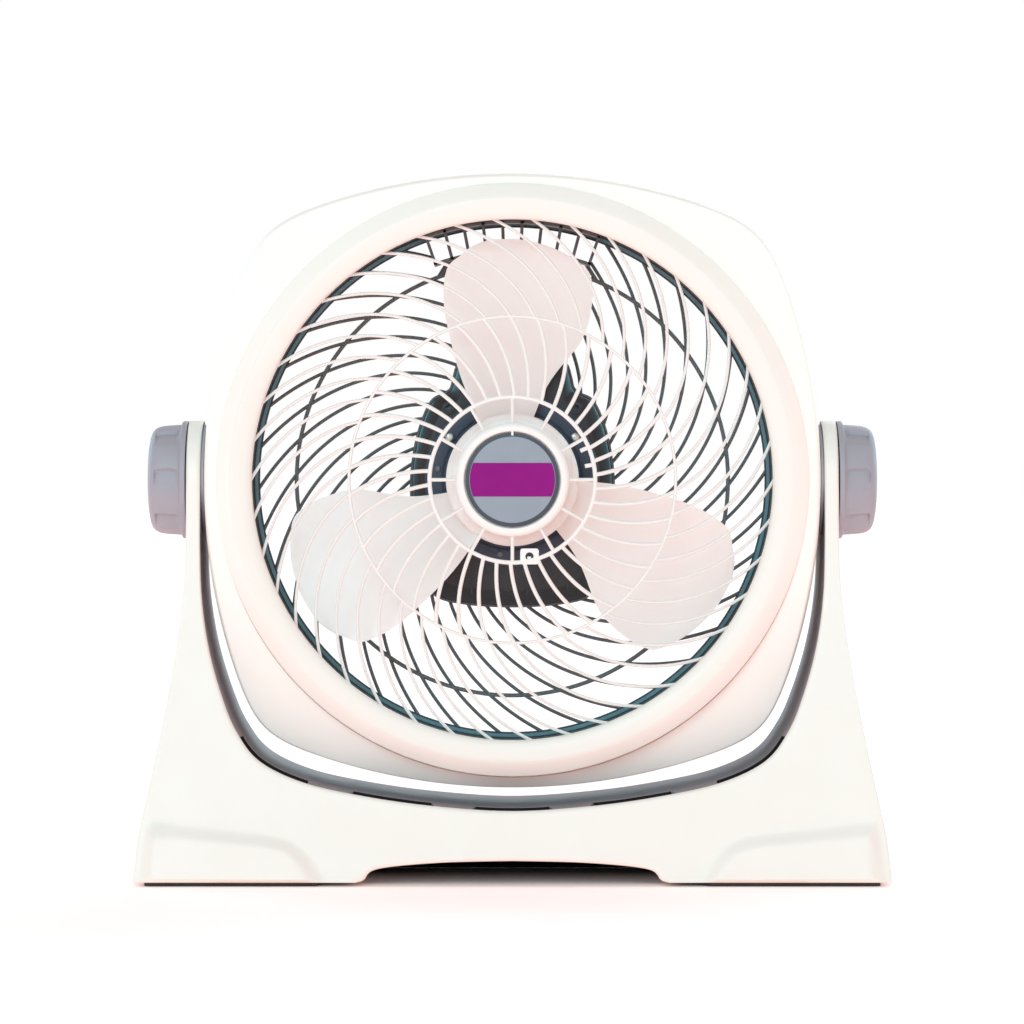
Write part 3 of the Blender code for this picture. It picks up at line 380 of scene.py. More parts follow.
# painted shade: near-black for the hollow over the arch, the liner's notch floors and the sheet under the rear wall
PAINTED_SHADE_BLACK = material("painted_shade_hollow", (0.022, 0.02, 0.023), 0.9, specular=0.0, tint=0.15, bump=0.06)
NAVY = material("navy_motor_plate", (0.056, 0.068, 0.1), 0.5, specular=0.3, tint=0.1, bump=0.04)
STEEL = material("zinc_steel", (0.62, 0.61, 0.58), 0.33, metallic=1.0, tint=0.05, patch=60, bump=0.03)
TURNED_STEEL = material("turned_steel", (0.6, 0.6, 0.61), 0.28, metallic=1.0, bands=("Y", 900, 0.5), bump=0.05)
RIVET = material("dull_rivet", (0.16, 0.17, 0.18), 0.5, metallic=0.6, tint=0.08, patch=60)
IRON = material("stacked_sheet", (0.25, 0.25, 0.26), 0.45, metallic=0.9, bands=("Y", 1000, 0.9), bump=0.5)
COPPER = material("copper_wire", (0.62, 0.24, 0.09), 0.35, metallic=1.0, bands=("Y", 800, 0.9), bump=0.6)
BRONZE = material("sintered_bronze", (0.45, 0.3, 0.15), 0.5, metallic=1.0, tint=0.12, patch=400, bump=0.15)
RUBBER = material("foot_rubber", (0.05, 0.05, 0.05), 0.8, specular=0.3, tint=0.15, bump=0.3)
BADGE_RING = material("badge_rim", (0.065, 0.075, 0.095), 0.4, specular=0.3, tint=0.05, patch=60, bump=0.02)
BADGE_SILVER = material("badge_silver", (0.285, 0.315, 0.37), 0.4, metallic=0.2, tint=0.03, patch=60, bump=0.05)
BADGE_BAND = material("badge_band", (0.27, 0.006, 0.21), 0.5, specular=0.12, tint=0.04, patch=60, bump=0.02)
MARKING = material("dial_marking", (0.75, 0.75, 0.74), 0.5, tint=0.03, patch=90, bump=0.04)


# ------ making pieces
def placed(name, data):
    """A new Blender object in the scene."""
    obj = bpy.data.objects.new(name, data)
    bpy.context.scene.collection.objects.link(obj)
    return obj


def object_of(name, shape, materials):
    """A Blender object, in place in the model's frame, from a shape."""
    mesh = bpy.data.meshes.new(name)
    mesh.from_pydata([PIVOT + Vector(point) * 0.001 for point in shape.points], [], shape.faces)
    mesh.polygons.foreach_set("material_index", shape.slots)
    for made in materials:
        mesh.materials.append(made)
    bm = bmesh.new()
    bm.from_mesh(mesh)
    bmesh.ops.remove_doubles(bm, verts=bm.verts, dist=1e-6)
    bmesh.ops.dissolve_degenerate(bm, edges=bm.edges, dist=1e-7)
    bmesh.ops.recalc_face_normals(bm, faces=bm.faces)
    bm.to_mesh(mesh)
    bm.free()
    return placed(name, mesh)


def piece(name, shape, materials, body, nodes=(), sharp=35):
    """A finished piece that rides on a body and stands for CAD nodes."""
    materials = materials if isinstance(materials, list) else [materials]
    obj = shape if isinstance(shape, bpy.types.Object) else object_of(name, shape, materials)
    obj.name = name
    obj.data.shade_smooth()
    obj.data.set_sharp_from_angle(angle=radians(sharp))
    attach(obj, body)
    if nodes:
        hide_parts(*nodes)
    return obj


def baked(obj):
    """An object's mesh with its modifiers, or its lettering, made solid."""
    bpy.context.view_layer.update()
    return bpy.data.meshes.new_from_object(obj.evaluated_get(bpy.context.evaluated_depsgraph_get()))


def cut(obj, shape):
    """obj without the space that a closed shape fills."""
    cutter = object_of("cutter", shape, [])
    modifier = obj.modifiers.new("cut", "BOOLEAN")
    modifier.object = cutter
    modifier.operation = "DIFFERENCE"
    modifier.solver = "EXACT"
    mesh = baked(obj)
    obj.modifiers.clear()
    obj.data = mesh
    bpy.data.objects.remove(cutter)
    return obj


def repaint(made, *nodes):
    """Gives CAD nodes that stay a better material."""
    for node in nodes:
        obj = frame["nodes"][node]
        for slot in obj.material_slots:
            slot.link = "DATA"
            slot.material = made


# ------ base
DEPTHS = smooth(BASE_DEPTH, 8)
PANEL_LOOP = smooth(FOOT_PANEL, 4)


def base_depth(z):
    """Half the base's depth at a height: round at the arms' tops and growing towards the floor."""
    if z > 0:
        return sqrt(max(0.0, ARM_TOP_RADIUS**2 - z * z))
    for (d0, z0), (d1, z1) in zip(DEPTHS, DEPTHS[1:]):
        if z1 <= z <= z0:
            return d0 + (d1 - d0) * (z0 - z) / (z0 - z1)
    return DEPTHS[-1][0]


def rises(x, z):
    """How far a foot's raised panel stands out at a point of the base's front."""
    x = abs(x)
    if not inside_loop(PANEL_LOOP, x, z):
        return 0.0
    point, distances = Vector((x, z)), []
    for (ax, az), (bx, bz) in zip(PANEL_LOOP, [*PANEL_LOOP[1:], PANEL_LOOP[0]]):
        a, ab = Vector((ax, az)), Vector((bx - ax, bz - az))
        share = min(1.0, max(0.0, (point - a).dot(ab) / ab.length_squared))
        distances.append((a + ab * share - point).length)
    return FOOT_PANEL_RISE * min(1.0, min(distances) / FOOT_PANEL_SLOPE)


def base_rows(arched):
    """Pairs of matching points on the base's inner and outer outlines, from the right arm's top to the left's."""
    top = [(ARM_INNER_X, ARM_TOP_RADIUS * sin(radians(a))) for a in range(89, 0, -6)]
    x, z = BASE_INSIDE[-2]
    inside = smooth([*BASE_INSIDE, (-x, z)], 10)[:-10]
    bend = next(i for i, (x, z) in enumerate(inside) if z < -206)
    flat = next(i for i, (x, z) in enumerate(inside) if x < 165)
    foot = [(309, FOOT_Z), (FOOT_INNER_X, FOOT_Z)]
    under = [(FOOT_INNER_X, FOOT_Z), (0, FOOT_Z)]
    if arched:
        under = smooth([(FOOT_INNER_X, FOOT_Z), (121, -326), *ARCH], 6)
    inner, outer = [*top], [(ARM_OUTER_X, z) for _, z in top]
    for part, other, count in ((inside[:bend + 1], smooth(BASE_OUTSIDE, 8), 70),
                               (inside[bend:flat + 1], foot, 44), (inside[flat:], under, 44)):
        inner += resampled(part, count)[:-1]
        outer += resampled(other, count)[:-1]
    inner.append(inside[-1])
    outer.append(under[-1])
    right = list(zip(inner, outer))
    return [*right, *[((-a[0], a[1]), (-b[0], b[1])) for a, b in right[-2::-1]]]


def base_shell(side, arched):
    """Half the base. side is -1 for the front half and 1 for the rear half."""
    columns = 36
    rows = []
    for (ix, iz), (ox, oz) in base_rows(arched):
        width = hypot(ox - ix, oz - iz)
        size = 0.8 if oz < FOOT_Z + 0.01 and abs(ox) < 308.9 else BASE_EDGE
        row = []
        # outer wall, rounded edge, face, rounded edge
        for share in (0.0, 0.5, 1.0):
            depth = 0.15 + share * max(0.0, base_depth(oz) - size - 0.15)
            row.append((ox, side * depth, oz))
        offsets = [1 - cos(radians(a)) for a in (22.5, 45, 67.5, 90)]
        flat = width - size - BASE_EDGE
        distances = [*[size * d for d in offsets], *[size + flat * (i + 1) / columns for i in range(columns - 1)],
                     *[width - BASE_EDGE * d for d in offsets[::-1]]]
        for distance in distances:
            share = distance / width
            x, z = ox + (ix - ox) * share, oz + (iz - oz) * share
            near, bend = min((distance, size), (width - distance, BASE_EDGE))
            edge = bend - sqrt(max(0.0, bend**2 - max(0.0, bend - near)**2))
            depth = max(0.2, base_depth(z) - edge + rises(x, z) * smoothstep(0, bend * 2, near))
            row.append((x, side * depth, z))
        back = (LINER + 0.5) / width
        rx, rz = ix + (ox - ix) * back, iz + (oz - iz) * back
        lip = max(0.16, base_depth(iz) - LIP)
        row.append((ix, side * max(0.2, base_depth(iz) - BASE_EDGE), iz))
        row += [(ix, side * lip, iz), (rx, side * lip, rz), (rx, side * 0.15, rz)]
        rows.append(row)
    return Shape().surface(rows, caps=True)


def make_base_shell(name, side):
    shell = object_of(name, base_shell(side, arched=side < 0), [WHITE])
    near, far = sorted((-side, side * HOLLOW_Y))        # a little past the parting plane
    low, high = HOLLOW_Z
    shell = cut(shell, Shape().block((-HOLLOW_X, near, low), (HOLLOW_X, far, high)))
    if side > 0:
        for x, z in BASE_SCREWS:
            shell = cut(shell, Shape().pin(x, z, 4.8, 17, 120))
    shell.data.materials.clear()
    for made in (WHITE, PAINTED_SHADE_BLACK):
        shell.data.materials.append(made)
    slack = 0.1
    # faces inside the hollow over the arch are painted near-black as shade
    for face in shell.data.polygons:
        x, y, z = (face.center - PIVOT) * 1000
        hidden = abs(x) < HOLLOW_X + slack and z < high + slack and side * y < HOLLOW_Y + slack
        face.material_index = 1 if hidden else 0
    piece(name + "_skin", shell, WHITE, "base", [name], sharp=40)


def make_base_liner():
    spans = [*NOTCH_SPANS, *[(-high, -low) for low, high in NOTCH_SPANS[1:]]]
    notched_below = -200
    outlines = base_rows(True)
    rows = []
    for (ix, iz), (ox, oz) in outlines:
        share = LINER / hypot(ox - ix, oz - iz)
        depth = max(0.3, base_depth(iz) - LIP - 0.3)
        notched = iz < notched_below and any(low < ix < high for low, high in spans)
        front = max(0.25, depth - (NOTCH if notched else 0))
        bx, bz = ix + (ox - ix) * share, iz + (oz - iz) * share
        rows.append([(ix, -front + 0.4, iz), (ix, -front * 0.3, iz), (ix, depth * 0.3, iz), (ix, depth, iz),
                     (bx, depth, bz), (bx, -front, bz), (ix + (bx - ix) * 0.2, -front, iz + (bz - iz) * 0.2)])
    strip = Shape().surface(rows, caps=True)
    # the notches' floors are painted near-black as the shade in deep gaps
    for low, high in spans:
        floor = []
        for (ix, iz), (ox, oz) in outlines:
            if low < ix < high and iz < notched_below:
                share, front = 0.3 / hypot(ox - ix, oz - iz), LIP + 0.4 - base_depth(iz)
                x, z, back = ix + (ox - ix) * share, iz + (oz - iz) * share, front + NOTCH + 0.5
                floor.append([(x, front, z), (x, back, z), (x, back, z - 1), (x, front, z - 1)])
        strip.surface(floor, slot=1, caps=True)
    # a near-black sheet under the rear wall, painted shade, that also keeps daylight from behind out of the arch
    reach = HOLLOW_X - 2
    strip.block((-reach, HOLLOW_Y + 0.5, FLOOR_Z + 0.5), (reach, HOLLOW_Y + 4, FOOT_Z - 0.3), slot=1)
    piece("base_liner_strip", strip, [LINER_GREY, PAINTED_SHADE_BLACK], "base", ["base_liner"], 30)


def make_foot_pad(name):
    low, high = [(Vector(corner) - PIVOT) * 1000 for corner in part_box(f"foot_pad_{name}")]
    middle, half = (low + high) / 2, (high - low) / 2
    corner = 4
    loop = [(middle.x + half.x - corner + corner * cos(a), middle.y + half.y - corner + corner * sin(a))
            for a in [radians(d) for d in range(0, 91, 15)]]
    loop += [(2 * middle.x - x, y) for x, y in loop[::-1]]
    loop += [(x, 2 * middle.y - y) for x, y in loop[::-1]]
    rows = [[(x, y, low.z) for x, y in inset(loop, 0.5)], [(x, y, low.z + 0.5) for x, y in loop],
            [(x, y, high.z) for x, y in loop]]
    piece(f"foot_pad_{name}_rubber", Shape().surface(rows, caps=True), RUBBER, "base",
          [f"foot_pad_{name}"])


def make_base():
    make_base_shell("base_front_shell", -1)
    make_base_shell("base_rear_shell", 1)
    make_base_liner()
    for name in ("front_left", "front_right", "rear_left", "rear_right"):
        make_foot_pad(name)
    for number, (x, z) in enumerate(BASE_SCREWS, 1):
        screw(f"base_screw_{number}", x, z, 14.3, "base")


def screw(node, x, z, head_y, body, tip=30.0, outwards=1):
    """A cross-recessed pan-head screw along Y that stands for a CAD screw."""
    y = head_y
    outline = ((0, -tip), (1.0, -tip), (1.7, 2 - tip), (1.7, 0), (4, 0), (4.0, 0.9), (3.4, 1.9), (2.2, 2.5), (0, 2.6))
    profile = [(radius, y + outwards * out) for radius, out in outline]
    head = object_of(node, Shape().lathe(profile, 24, (x, z), closed=False), [STEEL])
    low, high = sorted((y + outwards * 1.1, y + outwards * 5))
    for wide, tall in ((2.2, 0.42), (0.42, 2.2)):
        head = cut(head, Shape().block((x - wide, low, z - tall), (x + wide, high, z + tall)))
    piece(node + "_cross_head", head, STEEL, body, [node])


# ------ pivots
KNOB_FLUTES, KNOB_SIDES = 7, 288
KNOB_PROFILE = [(4.3, 271.6), (12.7, 271.6), (13, 299), (32, 298.5), (42, 289), (42, 270.6), (48.6, 270.4),
                (49, 270.9), (49, 274.2), (48.3, 275.0), (46.8, 275.4), (46.1, 276.0), (45.9, 277.5), (45.7, 281),
                (45.4, 286), (44.9, 291), (44.2, 294), (43.2, 296.4), (41.8, 298.4), (39.6, 300.0), (36.5, 301.2),
                (31, 302.2), (20, 302.9), (9, 303.3), (0, 303.4)]


def knob_flute(x, angle):
    """Depth of the knob's finger recesses: panels sunk into its side, deepest at their upper edge."""
    pitch = 360 / KNOB_FLUTES
    off = (angle - 180 + pitch / 2) % pitch - pitch / 2
    half, corner = 9.2, 3.0
    across, along = off / 360 * 2 * pi * 44.5, abs(x - 286.6)
    gap_x, gap_y = along - (9.6 - corner), abs(across) - (half - corner)
    distance = hypot(max(0, gap_x), max(0, gap_y)) + min(0, max(gap_x, gap_y)) - corner
    deepest = 1.7 - 1.3 * across / half
    return deepest * (1 - smoothstep(-1.0, 0.1, distance))


def make_knob(name, side):
    profile = resample_profile(KNOB_PROFILE, 0.9)
    rows = []
    for angle in [360 * i / KNOB_SIDES for i in range(KNOB_SIDES)]:
        row = []
        for n, (radius, x) in enumerate(profile):
            outside = n > len(profile) // 3 and radius > 36 and x > 276 and (radius > 42.5 or x > 295)
            here = radius - (knob_flute(x, angle) if outside else 0)
            row.append((side * x, here * cos(radians(angle)), here * sin(radians(angle))))
        rows.append(row)
    piece(f"knob_{name}_grip", Shape().surface(rows, close_rows=True, close_columns=False), GREY,
          f"clamp_knob_{name}", [f"knob_{name}"], 50)


def flat_ring(side, radius, near, far, edge, sides):
    """A flat ring round a stud, with its outer edges rounded."""
    profile = rounded([(4.4, near, 0), (radius, near, edge), (radius, far, edge), (4.4, far, 0)])
    return Shape().lathe([(r, side * x) for r, x in profile], sides, along="x")


def make_pivots():
    for name, side in (("left", -1), ("right", 1)):
        make_knob(name, side)
        near, far = HEAD_SIDE + 0.3, ARM_INNER_X - 0.3
        piece(f"pivot_disc_{name}_pad", flat_ring(side, PAD_RADIUS, near, far, 0.5, 96), GREY, "head",
              [f"pivot_disc_{name}"])
        near, far = ARM_OUTER_X + 0.3, ARM_OUTER_X + 1.7
        piece(f"knob_washer_{name}_ring", flat_ring(side, 11, near, far, 0.3, 48), STEEL, f"washer_{name}",
              [f"knob_washer_{name}"])


def resample_profile(profile, step):
    """The same profile with points at most step apart."""
    made = [profile[0]]
    for (r0, h0), (r1, h1) in zip(profile, profile[1:]):
        count = max(1, int(hypot(r1 - r0, h1 - h0) / step))
        made += [(r0 + (r1 - r0) * k / count, h0 + (h1 - h0) * k / count) for k in range(1, count + 1)]
    return made


# ------ head
HEAD_SIDES = 288


def swept(section):
    """A closed ring round the fan's axis whose section is worked out at each angle."""
    rows = []
    for i in range(HEAD_SIDES):
        angle = 2 * pi * i / HEAD_SIDES
        rows.append([(r * cos(angle), y, r * sin(angle)) for r, y in rounded(section(angle))])
    return Shape().surface(rows, close_rows=True)


def front_section(angle):
    edge = head_radius(angle)
    low = smoothstep(0.2, 0.9, -sin(angle))
    plate = PLATE_Y[0] + (PLATE_Y[1] - PLATE_Y[0]) * low
    rim = EDGE_Y[0] + (EDGE_Y[1] - EDGE_Y[0]) * low
    foot = 244.0
    slope = -59.5 + 2 * (1 - low)
    groove, groove_floor = foot + 0.4 + low, plate + 0.1 + 3.4 * low
    bevel = 2.6 - 1.9 * low
    flat = edge - bevel - 2.5
    share = (flat - groove) / (edge - bevel - groove)
    return [(edge - 5, PARTING_Y, 0), (edge - 0.6, 0, 20), (edge, rim + 2 * bevel, bevel * 1.5),
            (edge - bevel, rim + 0.4, bevel), (flat, plate + (rim + 0.4 - plate) * share, 0), (groove, plate, 0),
            (groove, groove_floor, 0), (foot, groove_floor, 0), (foot, slope, 1.0), (232.5, -67.4, 1.0),
            (230, BEZEL_Y, 3), (219.5, BEZEL_Y + 0.6, 4), (OPENING_RADIUS + 0.3, BEZEL_Y + 3.5, 2.5),
            (OPENING_RADIUS, -58.8, 0.5), (221.2, -58.8, 0), (221.2, -48, 0), (236, -48, 0),
            (239, max(-48, groove_floor + 2.5), 0), (edge - 7, rim + 8, 0), (edge - 7.5, PARTING_Y, 0)]


def rear_section(angle):
    edge = head_radius(angle)
    return [(edge - 5, PARTING_Y + 0.3, 0), (edge - 5.6, 54, 3), (edge - 8.5, 59, 3), (edge - 13, BACK_Y, 4),
            (230, BACK_Y, 2), (227, BACK_Y - 1, 0.5), (226.5, 50, 0), (DUCT_RADIUS, 50, 0), (DUCT_RADIUS, -44, 0),
            (DUCT_RADIUS + 2.5, -44, 0), (DUCT_RADIUS + 2.5, 46, 0), (229, 50, 0), (229, 58.5, 0),
            (edge - 13, 58.5, 0), (edge - 7.5, PARTING_Y + 0.3, 0)]


def make_housing():
    front = swept(front_section)
    # the sloping faces outside SLOPES_FROM and in front of SLOPES_Y take the lighter, pinker copy of the white:
    # painted light
    for number, corners in enumerate(front.faces):
        around = [front.points[corner] for corner in corners]
        if all(y < SLOPES_Y and hypot(x, z) > SLOPES_FROM for x, y, z in around):
            front.slots[number] = 1
    boss = rounded([(5, 246.0, 0), (45.5, 246.0, 0), (45.5, HEAD_SIDE, 0.6), (5, HEAD_SIDE, 0)])
    for side in (-1, 1):
        front.lathe([(r, side * x) for r, x in boss], 96, along="x")
    piece("front_housing_shell", front, [WHITE, PAINTED_LIGHT_SLOPE_WHITE], "head", ["front_housing"], 30)
    piece("rear_housing_shell", swept(rear_section), WHITE, "head", ["rear_housing"], 30)


def dome_y(radius):
    return GRILLE_EDGE_Y - GRILLE_DOME * (1 - (radius / OPENING_RADIUS)**2)


def bar(bars, number, first_radius, last_radius, height, steps):
    """Points along one swirling bar; height gives y at a radius."""
    points = []
    for k in range(steps + 1):
        radius = first_radius + (last_radius - first_radius) * k / steps
        away = radius - bars.start
        angle = bars.first_angle + 360 * number / bars.count + bars.turn * away + bars.change * away**2
        points.append(polar(radius, angle, height(radius)))
    return points


def ring(radius, y, steps=144):
    return [polar(radius, 360 * k / steps, y) for k in range(steps)]


def make_front_grille():
    shape = Shape()
    (inner, inner_width), (middle, middle_width) = FRONT_RINGS
    for number in range(FRONT_OUTER_BARS.count):
        shape.tube(bar(FRONT_OUTER_BARS, number, middle, 216.5, dome_y, 18), FRONT_OUTER_BARS.width, 3.4)
    for number in range(FRONT_INNER_BARS.count):
        shape.tube(bar(FRONT_INNER_BARS, number, inner, middle, dome_y, 12), FRONT_INNER_BARS.width, 3.6)
    for angle in [360 / SPOKES * number for number in range(SPOKES)]:
        shape.tube([polar(45, angle, dome_y(45)), polar(inner, angle, dome_y(inner))], 3.0, 3.6)
    shape.tube(ring(inner, dome_y(inner)), inner_width, 4.0, closed=True, sides=10)
    shape.tube(ring(middle, dome_y(middle)), middle_width, 3.4, closed=True, sides=10)
    shape.lathe(rounded([(215, -57, 0.6), (219.6, -57, 0.6), (219.6, -52, 0.6), (215, -52, 0.6)]), 180)
    hub = dome_y(0)
    shape.lathe(rounded([(0, hub + 2, 0), (45, hub + 2, 1), (46.6, hub + 0.5, 1.5), (46.5, hub - 3.0, 1.5),
                         (44.4, hub - 5.6, 1.5), (40.2, hub - 6.0, 0.8), (39.3, hub - 4.0, 0.5),
                         (39.0, hub - 1.9, 0), (0, hub - 1.9, 0)], closed=False), 120, closed=False)
    shape.block((-0.9, hub - 5.3, 36.2), (0.9, hub - 3.0, 39.6))
    # the plate for the screw that keeps the grille from being unclipped, and two locating nibs
    x, _, z = polar(64.9, 282.5, 0)
    y = dome_y(63.8)
    eye = [(x - 7.6, z - 6.0), (x + 7.6, z - 6.0), (x + 7.6, z + 7.0), (x - 7.6, z + 7.0)]
    loop = rounded([(*corner, 1.6) for corner in eye])
    hole = [(x + 3.4 * cos(2 * pi * k / 24), z + 0.5 + 3.4 * sin(2 * pi * k / 24)) for k in range(24)]
    shape.surface(holed_plate(loop, hole, y - 1.6, y + 1.4), close_rows=True)
    for angle in (10.6, 23.0):
        shape.tube([polar(60.5, angle, y), polar(inner, angle, y)], 3.4, 3.4)
    shape.block((x - 1.7, y - 0.6, z - 3.4), (x + 1.3, y + 1.2, z + 0.4))
    piece("front_grille_bars", shape, GRILLE_WHITE, "head", ["front_grille"], 45)


def make_badge():
    """A plain disc with a plain band across it."""
    badge = Shape()
    behind, face = dome_y(0) - 2.2, dome_y(0) - 4.6
    badge.lathe([(0, behind), (38.4, behind), (38.5, face + 0.3), (38.2, face), (35.5, face - 0.2), (35.3, face)],
                96, closed=False)
    badge.lathe([(35.3, face), (0, face)], 96, slot=1, closed=False)
    half, edge = 13.8, 34.9
    turn = atan2(-half, sqrt(edge**2 - half**2))
    arc = [(edge * cos(turn * (1 - k / 8)), edge * sin(turn * (1 - k / 8))) for k in range(17)]
    badge.slab([*arc, *[(-u, v) for u, v in arc[::-1]]], [(0, face + 0.1), (0, face - 0.25)], slot=2)
    piece("hub_badge_plate", badge, [BADGE_RING, BADGE_SILVER, BADGE_BAND], "head", ["hub_badge"], 30)


def holed_plate(loop, hole, low, high):
    """Rows of a plate between an outline and a round hole, to be closed into a ring."""
    count = len(hole)
    outer = resampled([*loop, loop[0]], count)[:-1]
    centre = Vector((sum(u for u, _ in hole) / count, sum(v for _, v in hole) / count))
    start = min(range(count), key=lambda k: abs(atan2(outer[k][1] - centre.y, outer[k][0] - centre.x)))
    outer = [outer[(start + k) % count] for k in range(count)]
    return [[(u, y, v) for u, v in points] for y, points in
            ((low, outer), (low, hole), (high, hole), (high, outer))]


def motor_loop(extra=0.0):
    """The motor case's outline seen from the front, smoothed."""
    fine = smooth([*[(-x, z) for x, z in MOTOR_OUTLINE if x > 0.01], *MOTOR_OUTLINE[::-1]], 6, closed=True)
    return inset(fine, -extra) if extra else fine


def up_to_pocket(points):
    """The points that come before a bar first reaches the hand pocket."""
    inner, _, first, last = POCKET
    for n, (x, _, z) in enumerate(points):
        if first + 0.3 < degrees(atan2(z, x)) % 360 < last - 0.3 and hypot(x, z) > inner + 1:
            return points[:n]
    return points


def make_rear_grille():
    shape = Shape()
    y = CENTRAL_PLATE_Y + 1.8
    plate = motor_loop(2.0)
    under_plate = inset(plate, 4)
    inner = POCKET[0]
    for number in range(REAR_BARS.count):
        points = [p for p in bar(REAR_BARS, number, 76, 217, lambda radius: y, 60)
                  if not inside_loop(under_plate, p[0], p[2])]
        shape.tube(up_to_pocket(points), REAR_BARS.width, 3.6)
        outside = up_to_pocket(points[::-1])
        if 1 < len(outside) < len(points):
            shape.tube(outside, REAR_BARS.width, 3.6)
    shape.tube(ring(REAR_RING[0], y), REAR_RING[1], 3.8, closed=True, sides=10)
    for ring_angle, pocket_angle, width in ((66.9, 71.2, 3.4), (109.6, 105.8, 5.0)):
        shape.tube([polar(REAR_RING[0], ring_angle, y), polar(inner + 1.5, pocket_angle, y)], width, 3.8)
    shape.slab(plate, [(1, y - 2.0), (0, y - 1.2), (0, y + 1.2), (1, y + 2.0)])
    pocket_wall(shape)
    # the rim's two edges take the darker teal as painted shade
    for near, far, front, slot in ((214.0, 215.5, 1.8, 2), (215.3, 218.3, 2.6, 1), (218.1, 219.5, 1.8, 2)):
        shape.lathe(rounded([(near, y - front, 0.4), (far, y - front, 0.4), (far, y + 2, 0), (near, y + 2, 0)]), 180,
                    slot=slot)
    shape.lathe(rounded([(219.5, y - 1.5, 0), (225, y - 1.5, 1), (225, y + 3.5, 1), (219.5, y + 3.5, 0)]), 180)
    piece("rear_grille_bars", shape, [CHARCOAL, TEAL, TEAL_EDGE], "head", ["rear_grille"], 45)


def pocket_wall(shape):
    """The hand pocket at the top of the rear grille: walls all round and a slotted floor."""
    inner, outer, first, last = POCKET
    low, high = CENTRAL_PLATE_Y - 21, CENTRAL_PLATE_Y + 5.2
    wall = 1.25
    for radius in (inner + wall, outer - wall):
        section = [(radius - wall, low), (radius + wall, low), (radius + wall, high), (radius - wall, high)]
        rows = [[polar(r, first + (last - first) * k / 24, v) for r, v in section] for k in range(25)]
        shape.surface(rows, caps=True)
    for k in range(POCKET_BARS):
        angle = first + 0.4 + (last - first - 0.8) * k / (POCKET_BARS - 1)
        top, half = (high, wall) if k in (0, POCKET_BARS - 1) else (low + 3, 1.35)
        rows = []
        for radius in (inner + 0.5, outer - 0.5):
            turn = degrees(half / radius)
            rows.append([polar(radius, angle - turn, low), polar(radius, angle + turn, low),
                         polar(radius, angle + turn, top), polar(radius, angle - turn, top)])
        shape.surface(rows, caps=True)


def make_motor():
    case = scaled_layers(((1.0, CENTRAL_PLATE_Y - 0.3), (1.0, 46), (0.985, 45), (0.985, 24), (0.97, 21.5),
                          (0.885, 13), (0.87, 12.2), (0.84, 12)))
    for side in (-1, 1):
        case.lathe(rounded([(2.6, 10.8, 0), (5.4, 10.8, 0.5), (5.4, 14, 0), (2.6, 14, 0)]), 24, (side * 53.5, 60))
        for x0, x1 in ((12, 24), (34, 46)):
            case.block((side * x0 - 0.8, 11.2, -96), (side * x0 + 0.8, 13, -74))
            case.block((side * x1 - 0.8, 11.2, -92), (side * x1 + 0.8, 13, -74))
    piece("motor_case", case, BLACK, "head", ["motor_housing"], 30)

    plate = Shape()
    plate.lathe(rounded([(9.3, 8.4, 0), (18, 7.0, 2), (58, 7.0, 1), (59, 6.2, 1), (66, 6.2, 2), (73, 9.0, 1.5),
                         (73, 11.7, 0), (9.3, 11.7, 0)]), 120)
    for angle in (171.5, 260.6):
        x, _, z = polar(62.8, angle, 0)
        plate.lathe([(0, 5.2), (1.6, 5.4), (2.7, 6.3), (2.8, 7.2), (0, 7.2)], 20, (x, z), slot=1, closed=False)
    piece("motor_plate", plate, [NAVY, RIVET], "head", ["motor_front_plate"], 30)
    for number, (x, z) in enumerate(MOTOR_SCREWS, 1):
        screw(f"motor_screw_{number}", x, z, 6.2, "head", tip=20, outwards=-1)


def blade(shape, turn):
    """One pitched and cambered blade with rounded edges."""
    stations = smooth(BLADE_STATIONS, 6)
    columns = 24
    rows = []
    for radius, middle, half in stations:
        full = min(1.0, half / 24.0)
        depth = BLADE_DEPTH * full * (1 - 0.25 * (radius / BLADE_RADIUS)**2)
        front, back = [], []
        for i in range(columns + 1):
            across = 2 * i / columns - 1
            y = BLADE_MIDDLE_Y - across * depth / 2 + 5.0 * (1 - across**2) * full
            thick = BLADE_THICKNESS / 2 * sqrt(max(0.02, 1 - across**8)) * (1 - 0.3 * radius / BLADE_RADIUS)
            angle = turn + middle + across * half
            front.append(polar(radius, angle, y - thick))
            back.append(polar(radius, angle, y + thick))
        rows.append([*front, *back[::-1]])
    shape.surface(rows, caps=True)


def make_fan():
    shape = Shape()
    for number in range(3):
        blade(shape, 120 * number)
    shape.lathe(rounded([(4.3, -40.5, 0), (10, -40.5, 1), (12, -45.2, 2), (38, -46.8, 4), (49.6, -46.0, 1.2),
                         (50.4, -44.6, 0.8), (53.6, -43.4, 1.5), (HUB_RADIUS, -40, 1.5), (HUB_RADIUS, -2.5, 0.5),
                         (52.5, -2.5, 0.5), (52.5, -38, 2), (13, -43, 0), (10, -38, 0), (10, -2.5, 0),
                         (4.3, -2.5, 0)]), 120)
    piece("fan_blades", shape, BLADE, "rotor", ["fan_blade"], 40)
    nut = []
    for i in range(96):
        grip = 0.35 * (1 + cos(2 * pi * i / 8))
        profile = [(4.3, -41.4), (9.0 - grip, -41.4), (8.9 - grip, -43), (8.2 - grip, -46.2), (7.2, -46.5),
                   (4.3, -46.5)]
        angle = 2 * pi * i / 96
        nut.append([(r * cos(angle), y, r * sin(angle)) for r, y in profile])
    piece("spinner_nut_grip", Shape().surface(nut, close_rows=True), BLADE, "rotor", ["spinner_nut"],
          40)


def scaled_layers(layers):
    """A closed solid of the motor case's outline, made smaller by each layer's share at that layer's y."""
    return Shape().surface([[(x * share, y, z * share) for x, z in motor_loop()] for share, y in layers], caps=True)


